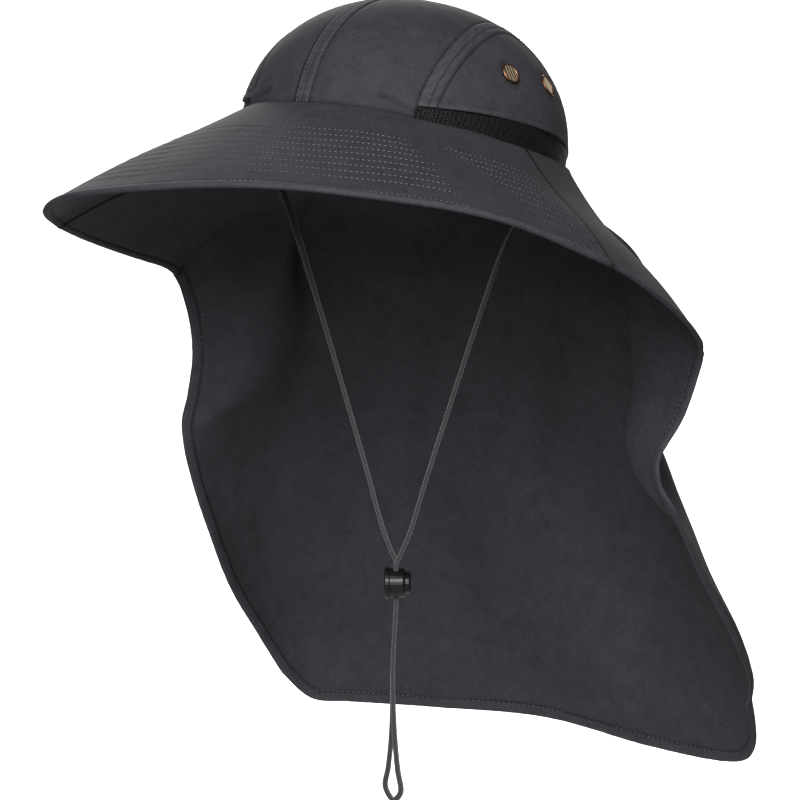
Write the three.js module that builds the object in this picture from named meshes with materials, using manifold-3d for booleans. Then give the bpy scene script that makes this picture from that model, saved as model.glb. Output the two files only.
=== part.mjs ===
// Wide-brimmed bush hat with a neck flap, in the form it has when worn.
// Millimetres and degrees. The origin is the centre of the head opening, +Z is up, the front faces -Y and
// the wearer's left is +X. The hat sits pitched back on the head, and the flap and the chin cord hang
// straight down from it.

import * as THREE from "three";
import { mergeVertices } from "three/addons/utils/BufferGeometryUtils.js";
import Module from "manifold-3d";

// Head opening and crown
const headWidth = 171.6;
const headLength = 204.6;
const openingWave = 2.5;
const wornPitch = 22.4;
const wornRoll = 3.9;
const crownHeight = 78.8;
const crownFullness = 2.14;
const crownLean = 8;
const crownWall = 1.6;
const crownSkirt = 1.4;
const cutFloor = -16;
const cutterReach = 1.6;

// Arched side panel and the mesh vent below it
const archFrontSpan = 92;
const archBackSpan = 78;
const archHeight = 69.5;
const archFullness = 1.8;
const archCentre = 10;
const ventCentre = -5;
const ventHeight = 12;
const ventFall = 4.3;
const ventFallSpan = 75;

// Vent eyelets
const eyeletDiameter = 12.4;
const eyeletHole = 7.6;
const eyeletTube = 0.6;
const eyeletFlange = 0.7;
const eyeletCentres = [{ end: "front", y: -25.3, z: 37.1 }, { end: "back", y: 13.2, z: 38.7 }];

// Brim
const brimWidth = 118;
const brimWall = 2.4;
const brimArch = 2;
const brimWave = 2.4;
const rimFoldWidth = 7;
const rimFoldWall = 3.4;
const seamBaseAngle = 77.5;
const seamRimAngle = 69.5;
const cornerBaseAngle = 107;
const cornerRimAngle = 107;

// Neck flap
const flapWall = 1.6;
const flapDrop = 388;
const flapHalfWidth = 169;
const flapDepth = 171;
const hemWidth = 7;
const hemWall = 2.6;

// Chin cord and its lock
const cordDiameter = 2.4;
const lockDiameter = 17.6;
const lockLength = 11.5;
const lockEndWall = 1.2;
const lockTurn = 30;
const lockEdge = 1.2;
const buttonDiameter = 12.4;
const buttonStandOut = 3.3;
const buttonTravel = 2.5;
const cordPlaneY = -8;
const cordBaseAngle = 85;
const lockCentreZ = -248;

// Clearances between neighbouring pieces
const clearance = 0.3;

// How far the rim reaches out and drops at each angle from the front, as shares of the brim's width. The
// wearer's left side droops a little more towards the back than the right.
const rimTable = [
  { angle: 0, reachLeft: 0.84, reachRight: 0.84, dropLeft: 0.514, dropRight: 0.514 },
  { angle: 22, reachLeft: 0.841, reachRight: 0.836, dropLeft: 0.488, dropRight: 0.545 },
  { angle: 45, reachLeft: 0.836, reachRight: 0.836, dropLeft: 0.489, dropRight: 0.561 },
  { angle: 66, reachLeft: 0.808, reachRight: 0.811, dropLeft: 0.562, dropRight: 0.565 },
  { angle: 88, reachLeft: 0.775, reachRight: 0.779, dropLeft: 0.684, dropRight: 0.574 },
  { angle: 107, reachLeft: 0.764, reachRight: 0.759, dropLeft: 0.787, dropRight: 0.587 },
];

// The flap's level sections below the brow, as columns from the front edge to the middle of the back. Drops
// are shares of the flap's drop, and each pair is a share of its half width and a share of its depth. Skew is
// how much lower a section lies at the wearer's left edge than at the right, and sway is how far it lies to
// the wearer's left, as the flap hangs a little askew.
const flapSections = [
  { drop: 0.335, skew: 0.01, sway: 0, mid: [0, 0.76],
    edge: [0.941, 0.17], valley: [0.698, 0.292], side: [0.639, 0.503], back: [0.414, 0.684] },
  { drop: 0.392, skew: 0.018, sway: -0.006, mid: [0, 0.795],
    edge: [0.889, 0.117], valley: [0.692, 0.257], side: [0.633, 0.515], back: [0.432, 0.719] },
  { drop: 0.443, skew: 0.01, sway: -0.008, mid: [0, 0.825],
    edge: [0.901, 0.105], valley: [0.751, 0.211], side: [0.663, 0.52], back: [0.462, 0.749] },
  { drop: 0.485, skew: 0, sway: -0.007, mid: [0, 0.842],
    edge: [0.941, 0.123], valley: [0.84, 0.187], side: [0.698, 0.532], back: [0.479, 0.772] },
  { drop: 0.546, skew: -0.018, sway: -0.006, mid: [0, 0.871],
    edge: [0.947, 0.181], valley: [0.888, 0.298], side: [0.752, 0.544], back: [0.497, 0.795] },
  { drop: 0.631, skew: -0.028, sway: -0.006, mid: [0, 0.906],
    edge: [0.956, 0.292], valley: [0.915, 0.404], side: [0.809, 0.579], back: [0.515, 0.83] },
  { drop: 0.755, skew: -0.034, sway: -0.009, mid: [0, 0.953],
    edge: [0.982, 0.491], valley: [0.948, 0.608], side: [0.86, 0.702], back: [0.521, 0.877] },
  { drop: 0.889, skew: -0.041, sway: -0.011, mid: [0, 0.982],
    edge: [0.962, 0.725], valley: [0.935, 0.784], side: [0.845, 0.86], back: [0.491, 0.93] },
  { drop: 1, skew: -0.05, sway: -0.006, mid: [0, 1],
    edge: [0.92, 0.83], valley: [0.87, 0.872], side: [0.757, 0.912], back: [0.426, 0.953] },
];

// The columns above, in order from the front edge to the middle of the back: the angle where each leaves the
// head opening, its x, y and drop where it turns over the brow, and the drop of its hem, in the same shares.
const flapColumns = [
  { name: "edge", base: cornerBaseAngle, brow: [1, 0.183, 0.255], hem: 0.925 },
  { name: "valley", base: 119, brow: [0.651, 0.304, 0.206], hem: 0.983 },
  { name: "side", base: 135, brow: [0.686, 0.468, 0.237], hem: 1 },
  { name: "back", base: 158, brow: [0.402, 0.62, 0.268], hem: 0.998 },
  { name: "mid", base: 180, brow: [0, 0.684, 0.278], hem: 0.99 },
];

// Route of one strand of the cord in its hanging plane: how far out from the middle, and the height.
const strandRoute = [
  { out: 76, z: -26 },
  { out: 68.4, z: -42 },
  { out: 56.4, z: -75 },
  { out: 43.9, z: -111 },
  { out: 31.4, z: -148 },
  { out: 18.7, z: -186 },
  { out: 9.6, z: -215 },
  { out: 3.9, z: -228.5 },
];
const loopDrop = 383.5;
const loopRadius = 4.9;
const loopTurn = 45;

const wasm = await Module();
wasm.setup();

const radians = THREE.MathUtils.degToRad;

// Value of a smooth curve through table rows at a place along them.
function smoothValue(places, values, at) {
  const last = places.length - 1;
  let i = 0;
  while (i < last - 1 && at > places[i + 1]) i += 1;
  const span = places[i + 1] - places[i];
  const t = (at - places[i]) / span;
  const slope = (k) => {
    const low = Math.max(k - 1, 0);
    const high = Math.min(k + 1, last);
    return (values[high] - values[low]) / (places[high] - places[low]);
  };
  const a = values[i];
  const b = values[i + 1];
  const rise = 3 * (b - a) - span * (2 * slope(i) + slope(i + 1));
  const bend = 2 * (a - b) + span * (slope(i) + slope(i + 1));
  return a + span * slope(i) * t + rise * t * t + bend * t * t * t;
}

// How the hat's own level frame is pitched back and rolled on the head.
const wornTurn = new THREE.Euler(-radians(wornPitch), -radians(wornRoll), 0);

function worn(point) {
  return point.clone().applyEuler(wornTurn);
}

function openingPoint(angle, outward) {
  const turn = radians(angle);
  return new THREE.Vector3(
    (headWidth / 2 + outward) * Math.sin(turn),
    -(headLength / 2 + outward) * Math.cos(turn),
    openingWave * Math.cos(2 * turn),
  );
}

function crownPoint(angle, rise) {
  const reach = Math.cos(rise) ** (2 / crownFullness);
  const height = Math.sin(rise) ** (2 / crownFullness);
  const base = openingPoint(angle, -crownWall / 2);
  return new THREE.Vector3(
    base.x * reach,
    base.y * reach + crownLean * height,
    base.z * (1 - height) + crownHeight * height,
  );
}

// A cloth wall: every vertex of a sheet is moved half the wall to each side, and the free edges are closed.
function clothWall(points, faces, walls) {
  const normals = points.map(() => new THREE.Vector3());
  for (const face of faces) {
    const [a, b, c] = [points[face[0]], points[face[1]], points[face[2]]];
    const d = points[face[face.length - 1]];
    const across = new THREE.Vector3().subVectors(c, a);
    const along = new THREE.Vector3().subVectors(d, b);
    const normal = face.length === 4 ? across.cross(along)
      : new THREE.Vector3().subVectors(b, a).cross(new THREE.Vector3().subVectors(c, a));
    for (const k of face) normals[k].add(normal);
  }
  const count = points.length;
  const position = [];
  for (const side of [0.5, -0.5]) {
    points.forEach((p, i) => {
      position.push(p.clone().addScaledVector(normals[i].normalize(), side * walls[i]));
    });
  }
  const triangles = [];
  const edges = new Map();
  for (const face of faces) {
    for (let k = 1; k < face.length - 1; k += 1) {
      triangles.push([face[0], face[k], face[k + 1]]);
      triangles.push([face[0] + count, face[k + 1] + count, face[k] + count]);
    }
    face.forEach((from, k) => {
      const to = face[(k + 1) % face.length];
      if (!edges.delete(`${to} ${from}`)) edges.set(`${from} ${to}`, [from, to]);
    });
  }
  for (const [from, to] of edges.values()) {
    triangles.push([to, from, from + count], [to, from + count, to + count]);
  }
  const geometry = new THREE.BufferGeometry();
  const corners = position.flatMap((p) => p.toArray());
  geometry.setAttribute("position", new THREE.Float32BufferAttribute(corners, 3));
  geometry.setIndex(triangles.flat());
  return geometry;
}

function toSolid(geometry, matrix) {
  const bare = new THREE.BufferGeometry();
  bare.setAttribute("position", geometry.getAttribute("position").clone());
  if (geometry.index) bare.setIndex(geometry.index.clone());
  if (matrix) bare.applyMatrix4(matrix);
  const merged = mergeVertices(bare, 1e-4);
  return new wasm.Manifold(new wasm.Mesh({
    numProp: 3,
    vertProperties: new Float32Array(merged.getAttribute("position").array),
    triVerts: new Uint32Array(merged.index.array),
  }));
}

function fromSolid(solid) {
  const mesh = solid.getMesh();
  const geometry = new THREE.BufferGeometry();
  geometry.setAttribute("position", new THREE.BufferAttribute(new Float32Array(mesh.vertProperties), 3));
  geometry.setIndex(new THREE.BufferAttribute(new Uint32Array(mesh.triVerts), 1));
  return geometry;
}

// The whole crown shell, before the side openings are cut.
function crownShell() {
  const columns = 44;
  const rows = 9;
  const points = [];
  const faces = [];
  for (let j = -1; j < rows; j += 1) {
    const rise = Math.PI / 2 * (Math.max(j, 0) / rows) ** 1.15;
    for (let i = 0; i < columns; i += 1) {
      const point = crownPoint(i * 360 / columns, rise);
      if (j < 0) point.z -= crownSkirt;
      points.push(point);
    }
  }
  points.push(crownPoint(0, Math.PI / 2));
  const top = points.length - 1;
  for (let j = 0; j <= rows; j += 1) {
    for (let i = 0; i < columns; i += 1) {
      const a = j * columns + i;
      const b = j * columns + (i + 1) % columns;
      faces.push(j < rows ? [a, b, b + columns, a + columns] : [a, b, top]);
    }
  }
  return toSolid(clothWall(points, faces, points.map(() => crownWall)));
}

// Where the crown wall is, seen from the side at a place y and a height z.
function crownSpot(y, z) {
  let height = z / crownHeight;
  let angle = 90;
  for (let pass = 0; pass < 4; pass += 1) {
    const reach = (1 - Math.max(height, 0) ** crownFullness) ** (1 / crownFullness);
    const along = (crownLean * height - y) / ((headLength - crownWall) / 2 * reach);
    angle = THREE.MathUtils.radToDeg(Math.acos(THREE.MathUtils.clamp(along, -1, 1)));
    const base = openingPoint(angle, 0).z;
    height = (z - base) / (crownHeight - base);
  }
  return { angle, rise: Math.asin(Math.max(height, 0) ** (crownFullness / 2)) };
}

// Cutter with this outline on the crown's side: a cone from the middle of the crown, so that it crosses the
// wall squarely. Places below the wall's foot go straight down from it.
function sideCutter(outline, side) {
  const heart = new THREE.Vector3(0, archCentre, 0);
  const ring = outline.map(([y, z]) => {
    const { angle, rise } = crownSpot(y, Math.max(z, -openingWave));
    const point = crownPoint(angle, rise).setZ(z);
    point.x *= side;
    return heart.clone().lerp(point, cutterReach);
  });
  const middle = new THREE.Vector3(side * headWidth, archCentre, cutterReach * cutFloor);
  const points = [...ring, heart, middle];
  const count = ring.length;
  const index = [];
  for (let k = 0; k < count; k += 1) {
    const next = (k + 1) % count;
    const [from, to] = side > 0 ? [k, next] : [next, k];
    index.push(to, from, count, from, to, count + 1);
  }
  const geometry = new THREE.BufferGeometry();
  geometry.setAttribute("position", new THREE.Float32BufferAttribute(points.flatMap((p) => p.toArray()), 3));
  geometry.setIndex(index);
  return toSolid(geometry);
}

// Arch from its back foot over the top to its front foot, closed below the crown's foot.
function archOutline(inset) {
  const steps = 24;
  const outline = [];
  for (let k = 0; k <= steps; k += 1) {
    const turn = Math.PI * k / steps;
    const span = (k < steps / 2 ? archBackSpan : archFrontSpan) - inset;
    const away = Math.sign(Math.cos(turn)) * Math.abs(Math.cos(turn)) ** (2 / archFullness);
    const up = Math.sin(turn) ** (2 / archFullness);
    outline.push([archCentre + span * away, (archHeight - inset) * up]);
  }
  return [[outline[0][0], cutFloor], ...outline, [outline[steps][0], cutFloor]];
}

// The area below the line between the vent and the panel: the line is highest forward of the middle.
function ventOutline(lift) {
  const steps = 10;
  const line = [];
  for (let k = 0; k <= steps; k += 1) {
    const back = archCentre + archBackSpan + crownWall;
    const y = back - (k / steps) * (archBackSpan + archFrontSpan + 2 * crownWall);
    line.push([y, ventHeight - ventFall * ((y - ventCentre) / ventFallSpan) ** 2 + lift]);
  }
  return [[line[0][0], cutFloor], ...line, [line[steps][0], cutFloor]];
}

// Place and outward direction of the crown wall at a spot of its side.
function wallPlace(side, y, z) {
  const { angle, rise } = crownSpot(y, z);
  const place = crownPoint(angle, rise);
  const round = new THREE.Vector3().subVectors(crownPoint(angle + 1, rise), place);
  const up = new THREE.Vector3().subVectors(crownPoint(angle, rise + 0.01), place);
  const outward = round.cross(up).normalize();
  if (side < 0) {
    outward.x *= -1;
    place.x *= -1;
  }
  return { place, outward };
}

function turnedTo(direction, place) {
  const turn = new THREE.Quaternion().setFromUnitVectors(new THREE.Vector3(0, 1, 0), direction);
  return new THREE.Matrix4().compose(place, turn, new THREE.Vector3(1, 1, 1));
}

// Eyelet profile: outer flange, tube through the panel and inner washer, round one hole.
function eyeletGeometry() {
  const hole = eyeletHole / 2;
  const tube = hole + eyeletTube;
  const flange = eyeletDiameter / 2;
  const front = crownWall / 2 + clearance;
  const inside = front + 2.5 * clearance;
  const profile = [
    [hole, -inside - eyeletFlange],
    [flange - eyeletTube, -inside - eyeletFlange],
    [flange - eyeletTube, -inside],
    [tube, -inside],
    [tube, front],
    [flange, front],
    [flange - 0.25 * eyeletFlange, front + 0.7 * eyeletFlange],
    [(flange + hole) / 2, front + eyeletFlange],
    [hole, front + 0.6 * eyeletFlange],
    [hole, -inside - eyeletFlange],
  ];
  return new THREE.LatheGeometry(profile.map(([r, h]) => new THREE.Vector2(r, h)), 18);
}

// How far the sloping cloth lies above a straight line from the head opening to the rim. Round the sides it
// dips near the crown and rises near the rim.
function slopeLift(rimAngle, share) {
  const arch = brimArch * Math.cos(radians(1.2 * rimAngle)) * Math.sin(Math.PI * share);
  return arch - brimWave * (1 - Math.cos(radians(rimAngle))) * Math.sin(2 * Math.PI * share);
}

function rimPoint(angle) {
  const places = rimTable.map((row) => row.angle);
  const signed = [...places.slice(1).reverse().map((place) => -place), ...places];
  const both = (name) => [
    ...rimTable.slice(1).reverse().map((row) => row[`${name}Right`]),
    ...rimTable.map((row) => row[`${name}Left`]),
  ];
  const reach = brimWidth * smoothValue(signed, both("reach"), angle);
  const drop = brimWidth * smoothValue(signed, both("drop"), angle);
  const point = openingPoint(angle, reach);
  point.z = -drop;
  return point;
}

// A point of the brim from the head opening to the rim, slightly arched between them.
function brimPoint(baseAngle, rimAngle, share) {
  const seat = clearance + brimWall / 2;
  const point = openingPoint(baseAngle, seat).lerp(rimPoint(rimAngle), share);
  point.z += slopeLift(rimAngle, share);
  return point;
}

const rimFold = rimFoldWidth / brimWidth;
const brimShares = [0, 0.2, 0.4, 0.6, 0.8, 1 - rimFold, 1 - 0.4 * rimFold, 1];

function brimGeometry() {
  const columns = 34;
  const gapAtBase = clearance / headWidth;
  const gapAtRim = clearance / (headWidth + brimWidth);
  const base = seamBaseAngle - THREE.MathUtils.radToDeg(gapAtBase);
  const rim = seamRimAngle - THREE.MathUtils.radToDeg(gapAtRim);
  const points = [];
  const walls = [];
  const faces = [];
  const rows = brimShares.length;
  for (let i = 0; i <= columns; i += 1) {
    const way = 2 * i / columns - 1;
    brimShares.forEach((share, j) => {
      points.push(brimPoint(base * way, rim * way, share));
      walls.push(j === rows - 2 ? rimFoldWall : brimWall);
    });
  }
  for (let i = 0; i < columns; i += 1) {
    for (let j = 0; j < rows - 1; j += 1) {
      const a = i * rows + j;
      faces.push([a, a + 1, a + 1 + rows, a + rows]);
    }
  }
  return clothWall(points, faces, walls);
}

// A point on one of the flap's five named columns: way 0 is its brow and way 1 its hem.
function columnPoint(side, column, way) {
  const [browX, browY, browDrop] = column.brow;
  const places = [browDrop, ...flapSections.map((row) => row.drop)];
  const slant = (at) => {
    const skews = [0, ...flapSections.map((row) => row.skew)];
    const fade = 1 - flapColumns.indexOf(column) / (flapColumns.length - 1);
    return side * fade * fade * smoothValue(places, skews, at);
  };
  const hem = column.hem + slant(1);
  const drop = browDrop + (hem - browDrop) * way;
  const level = drop - slant(drop);
  const xs = [browX, ...flapSections.map((row) => row[column.name][0])];
  const ys = [browY, ...flapSections.map((row) => row[column.name][1])];
  const sways = [0, ...flapSections.map((row) => row.sway)];
  const away = side * smoothValue(places, xs, level) + smoothValue(places, sways, level);
  return new THREE.Vector3(
    flapHalfWidth * away,
    flapDepth * smoothValue(places, ys, level),
    -flapDrop * drop,
  );
}

// The hanging part of the flap: place 0 is the front edge and place 1 the middle of the back.
function curtainPoint(side, place, way) {
  const keys = flapColumns.map((column) => columnPoint(side, column, way));
  const places = flapColumns.map((column, k) => k / (flapColumns.length - 1));
  const beyond = columnPoint(-side, flapColumns[flapColumns.length - 2], way);
  const spots = [...places, 2 - places[places.length - 2]];
  const all = [...keys, beyond];
  return new THREE.Vector3(
    smoothValue(spots, all.map((p) => p.x), place),
    smoothValue(spots, all.map((p) => p.y), place),
    smoothValue(spots, all.map((p) => p.z), place),
  );
}

function curtainBase(place) {
  const places = flapColumns.map((column, k) => k / (flapColumns.length - 1));
  return smoothValue(places, flapColumns.map((column) => column.base), place);
}

function flapGeometry() {
  const wingColumns = 6;
  const curtainColumns = 19;
  const slopeRows = 4;
  const fallRows = 13;
  const seat = clearance + brimWall / 2;
  const points = [];
  const walls = [];
  const faces = [];
  const columns = [];
  const gapAtBase = THREE.MathUtils.radToDeg(clearance / headWidth);
  const gapAtRim = THREE.MathUtils.radToDeg(clearance / (headWidth + brimWidth));
  const add = (point, wall) => {
    points.push(point);
    walls.push(wall);
    return points.length - 1;
  };
  const buildSide = (side) => {
    for (let i = 0; i < wingColumns; i += 1) {
      const way = i / wingColumns;
      const base = seamBaseAngle + gapAtBase + (cornerBaseAngle - seamBaseAngle - gapAtBase) * way;
      const rim = seamRimAngle + gapAtRim + (cornerRimAngle - seamRimAngle - gapAtRim) * way;
      const column = [];
      for (let j = 0; j <= slopeRows; j += 1) {
        const point = worn(brimPoint(side * base, side * rim, j / slopeRows));
        column.push(add(point, j === slopeRows ? hemWall : flapWall));
      }
      columns.push(column);
    }
    for (let i = 0; i <= curtainColumns; i += 1) {
      const place = i / curtainColumns;
      if (side < 0 && i === curtainColumns) break;
      const top = worn(openingPoint(side * curtainBase(place), seat));
      const brow = curtainPoint(side, place, 0);
      const next = curtainPoint(side, place, 1 / fallRows);
      const corner = worn(rimPoint(side * cornerRimAngle));
      const hold = Math.max(0, 1 - place * (flapColumns.length - 1)) ** 2;
      const column = [];
      for (let j = 0; j <= slopeRows; j += 1) {
        const share = j / slopeRows;
        const point = top.clone().lerp(brow, share);
        const straight = new THREE.Vector3().subVectors(brow, next);
        point.addScaledVector(straight, share * share * (1 - share) * 2 * (1 - hold));
        point.addScaledVector(worn(new THREE.Vector3(0, 0, 1)), slopeLift(cornerRimAngle, share));
        point.addScaledVector(new THREE.Vector3().subVectors(corner, brow), hold * share);
        column.push(add(point, i === 0 && j === slopeRows ? hemWall : flapWall));
      }
      for (let j = 1; j <= fallRows + 1; j += 1) {
        const way = j <= fallRows - 1 ? j / fallRows : j === fallRows ? 1 - hemWidth / flapDrop : 1;
        const point = curtainPoint(side, place, way);
        const settle = hold * Math.max(0, 1 - 2.5 * way) ** 2;
        point.addScaledVector(new THREE.Vector3().subVectors(corner, brow), settle);
        const hemmed = j >= fallRows || i === 0;
        column.push(add(point, hemmed ? hemWall : flapWall));
      }
      columns.push(column);
    }
  };
  buildSide(1);
  const leftCount = columns.length;
  buildSide(-1);
  const left = columns.slice(0, leftCount);
  const right = columns.slice(leftCount).reverse();
  const order = [...left, ...right];
  for (let i = 0; i < order.length - 1; i += 1) {
    const rows = Math.min(order[i].length, order[i + 1].length);
    for (let j = 0; j < rows - 1; j += 1) {
      faces.push([order[i][j], order[i][j + 1], order[i + 1][j + 1], order[i + 1][j]]);
    }
  }
  return clothWall(points, faces, walls);
}

// Directions of the cord's lock: along its button, and across it towards the front.
const lockAxis = new THREE.Vector3(Math.cos(radians(lockTurn)), Math.sin(radians(lockTurn)), 0);
const lockAcross = new THREE.Vector3(Math.sin(radians(lockTurn)), -Math.cos(radians(lockTurn)), 0);
const loopAcross = lockAcross.clone().applyAxisAngle(new THREE.Vector3(0, 0, 1), radians(loopTurn));
const strandGap = (cordDiameter + clearance) / 2;
const cordCentre = new THREE.Vector3(0, cordPlaneY, 0);
const tailDrift = new THREE.Vector3(-2.2, 0, 0);

// The cord's centre line: down the left strand, through the lock, round the loop's end and up again.
function cordCurve() {
  const strand = (side) => {
    const edge = openingPoint(side * cordBaseAngle, -crownWall / 2);
    const top = worn(edge.add(new THREE.Vector3(0, 0, -crownSkirt)));
    const spots = strandRoute.map((spot) => new THREE.Vector3(side * spot.out, cordPlaneY, spot.z));
    top.z -= clearance + cordDiameter / 2 + (cordPlaneY - top.y) * Math.tan(radians(wornPitch));
    top.setY(cordPlaneY);
    return [top, top.clone().lerp(spots[0], 0.4).add(new THREE.Vector3(side, 0, 0)), ...spots];
  };
  const down = strand(1);
  const up = strand(-1).reverse();
  const hang = (across, sign, offset, z) => cordCentre.clone().addScaledVector(across, sign * offset).setZ(z);
  const half = lockDiameter / 2;
  const passes = (sign) => [
    hang(lockAcross, sign, strandGap, lockCentreZ + half + 2.5),
    hang(lockAcross, sign, strandGap, lockCentreZ + half / 2),
    hang(lockAcross, sign, strandGap, lockCentreZ - half / 2),
    hang(lockAcross, sign, strandGap, lockCentreZ - half - 2),
    ...[
      hang(lockAcross, sign, strandGap, -298),
      hang(loopAcross, sign, strandGap, -338),
      hang(loopAcross, sign, loopRadius * 0.62, -359),
      hang(loopAcross, sign, loopRadius, loopRadius + cordDiameter / 2 - loopDrop),
    ].map((spot) => spot.add(tailDrift)),
  ];
  const bottom = hang(loopAcross, 1, 0, cordDiameter / 2 - loopDrop).add(tailDrift);
  return new THREE.CatmullRomCurve3([...down, ...passes(1), bottom, ...passes(-1).reverse(), ...up]);
}

function cordGeometry() {
  const sides = 8;
  const radius = cordDiameter / 2;
  const section = new THREE.Shape();
  for (let k = 0; k < sides; k += 1) {
    const turn = 2 * Math.PI * (k + 0.5) / sides;
    const spot = [radius * Math.cos(turn), radius * Math.sin(turn)];
    if (k === 0) section.moveTo(...spot);
    else section.lineTo(...spot);
  }
  section.closePath();
  return new THREE.ExtrudeGeometry(section, { steps: 72, bevelEnabled: false, extrudePath: cordCurve() });
}

function lockMatrix(along) {
  const place = cordCentre.clone().setZ(lockCentreZ).addScaledVector(lockAxis, along);
  return turnedTo(lockAxis, place);
}

// Slot for both strands, standing upright through the lock.
function strandSlot(length, from) {
  const wide = 2 * cordDiameter + 3 * clearance;
  const slot = new THREE.BoxGeometry(length, wide, 2 * lockDiameter);
  const basis = new THREE.Matrix4().makeBasis(lockAxis, lockAcross, new THREE.Vector3(0, 0, -1));
  const centre = cordCentre.clone().setZ(lockCentreZ).addScaledVector(lockAxis, from + length / 2);
  return toSolid(slot, basis.setPosition(centre));
}

// The cord passes the lock at its axis place 0.
const cordHalf = cordDiameter / 2 + clearance;
const buttonInner = -cordHalf - lockEdge;
const barrelClosedEnd = buttonInner - buttonTravel - clearance - lockEndWall;
const barrelOpenEnd = barrelClosedEnd + lockLength;

function barrelGeometry() {
  const outer = lockDiameter / 2;
  const bore = buttonDiameter / 2 + clearance;
  const profile = [
    [0, barrelClosedEnd],
    [outer - lockEdge, barrelClosedEnd],
    [outer, barrelClosedEnd + lockEdge / 2],
    [outer, barrelClosedEnd + 2 * lockEdge],
    [outer - lockEdge / 2, barrelClosedEnd + 2.5 * lockEdge],
    [outer - lockEdge / 2, barrelOpenEnd - lockEdge],
    [outer - lockEdge, barrelOpenEnd],
    [bore, barrelOpenEnd],
    [bore, barrelClosedEnd + lockEndWall],
    [0, barrelClosedEnd + lockEndWall],
  ];
  const body = new THREE.LatheGeometry(profile.map(([r, h]) => new THREE.Vector2(r, h)), 32);
  return fromSolid(toSolid(body, lockMatrix(0)).subtract(strandSlot(2 * cordHalf, -cordHalf)));
}

function buttonGeometry() {
  const outer = buttonDiameter / 2;
  const end = barrelOpenEnd + buttonStandOut;
  const profile = [
    [0, buttonInner],
    [outer, buttonInner],
    [outer, end - lockEdge],
    [outer - lockEdge / 3, end - lockEdge / 3],
    [outer - lockEdge, end],
    [0, end],
  ];
  const body = new THREE.LatheGeometry(profile.map(([r, h]) => new THREE.Vector2(r, h)), 28);
  return fromSolid(toSolid(body, lockMatrix(0)).subtract(strandSlot(2 * cordHalf + buttonTravel, -cordHalf)));
}

function clothMaterial(color, roughness) {
  return new THREE.MeshStandardMaterial({ color, roughness, metalness: 0 });
}

const shellCloth = clothMaterial(0x3f3e42, 0.9);
const quiltedCloth = clothMaterial(0x454448, 0.88);
const meshCloth = clothMaterial(0x0c0c0d, 0.95);
const cordBraid = clothMaterial(0x6f6f73, 0.8);
const lockPlastic = new THREE.MeshStandardMaterial({ color: 0x141214, roughness: 0.25, metalness: 0 });
const eyeletMetal = new THREE.MeshStandardMaterial({ color: 0x9c6b4a, roughness: 0.4, metalness: 0.9 });

function piece(name, geometry, material) {
  const mesh = new THREE.Mesh(geometry, material);
  mesh.name = name;
  return mesh;
}

const hat = new THREE.Group();
const pitched = new THREE.Group();
pitched.rotation.copy(wornTurn);
hat.add(pitched);

let crown = crownShell();
const shell = crown;
for (const side of [1, -1]) {
  const hand = side > 0 ? "left" : "right";
  const arch = sideCutter(archOutline(0), side);
  const innerArch = sideCutter(archOutline(clearance), side);
  const low = sideCutter(ventOutline(0), side);
  const lowWithGap = sideCutter(ventOutline(clearance), side);
  crown = crown.subtract(arch);
  let panel = shell.intersect(innerArch).subtract(lowWithGap);
  for (const centre of eyeletCentres) {
    const { place, outward } = wallPlace(side, centre.y, centre.z);
    const matrix = turnedTo(outward, place);
    const holeRadius = eyeletHole / 2 + eyeletTube + clearance;
    const drill = new THREE.CylinderGeometry(holeRadius, holeRadius, 8 * crownWall, 18);
    panel = panel.subtract(toSolid(drill, matrix));
    const eyelet = piece(`eyelet_${hand}_${centre.end}`, eyeletGeometry(), eyeletMetal);
    eyelet.applyMatrix4(matrix);
    pitched.add(eyelet);
  }
  pitched.add(piece(`side_panel_${hand}`, fromSolid(panel), shellCloth));
  pitched.add(piece(`mesh_vent_${hand}`, fromSolid(shell.intersect(innerArch).intersect(low)), meshCloth));
}
pitched.add(piece("crown", fromSolid(crown), shellCloth));
pitched.add(piece("brim", brimGeometry(), quiltedCloth));
hat.add(piece("neck_flap", flapGeometry(), shellCloth));
hat.add(piece("chin_cord", cordGeometry(), cordBraid));
hat.add(piece("cord_lock_barrel", barrelGeometry(), lockPlastic));
hat.add(piece("cord_lock_button", buttonGeometry(), lockPlastic));

export default hat;
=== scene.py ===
"""Wide-brimmed bush hat with a neck flap, dressed for a studio picture.

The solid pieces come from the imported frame. This file makes the cloth, the stitching, the eyelets, the chin
cord and the finishes, and sets the floor, the lights and the camera.
"""

import math

import bmesh
import bpy
import numpy as np
from mathutils import Matrix, Vector
from mathutils.kdtree import KDTree


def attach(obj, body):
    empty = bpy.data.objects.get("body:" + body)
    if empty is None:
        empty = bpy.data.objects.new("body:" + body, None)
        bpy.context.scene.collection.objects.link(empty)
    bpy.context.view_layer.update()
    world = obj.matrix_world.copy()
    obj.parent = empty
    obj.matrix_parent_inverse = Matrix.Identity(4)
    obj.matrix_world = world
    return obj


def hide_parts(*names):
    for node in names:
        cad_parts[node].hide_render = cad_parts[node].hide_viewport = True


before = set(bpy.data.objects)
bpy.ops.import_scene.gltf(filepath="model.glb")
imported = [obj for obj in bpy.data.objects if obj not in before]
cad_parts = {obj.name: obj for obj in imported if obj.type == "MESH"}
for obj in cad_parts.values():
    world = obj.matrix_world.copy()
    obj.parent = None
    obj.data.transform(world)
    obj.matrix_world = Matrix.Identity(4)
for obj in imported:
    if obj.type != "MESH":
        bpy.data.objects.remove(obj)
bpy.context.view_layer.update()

bl_info = {
    "name": "Bush Hat",
    "version": (1, 0, 0),
    "blender": (4, 5, 0),
    "location": "View3D > Sidebar > Bush Hat",
    "description": "Makes the cloth, seams, cord and finishes of a bush hat with a neck flap",
    "category": "Object",
}

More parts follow.
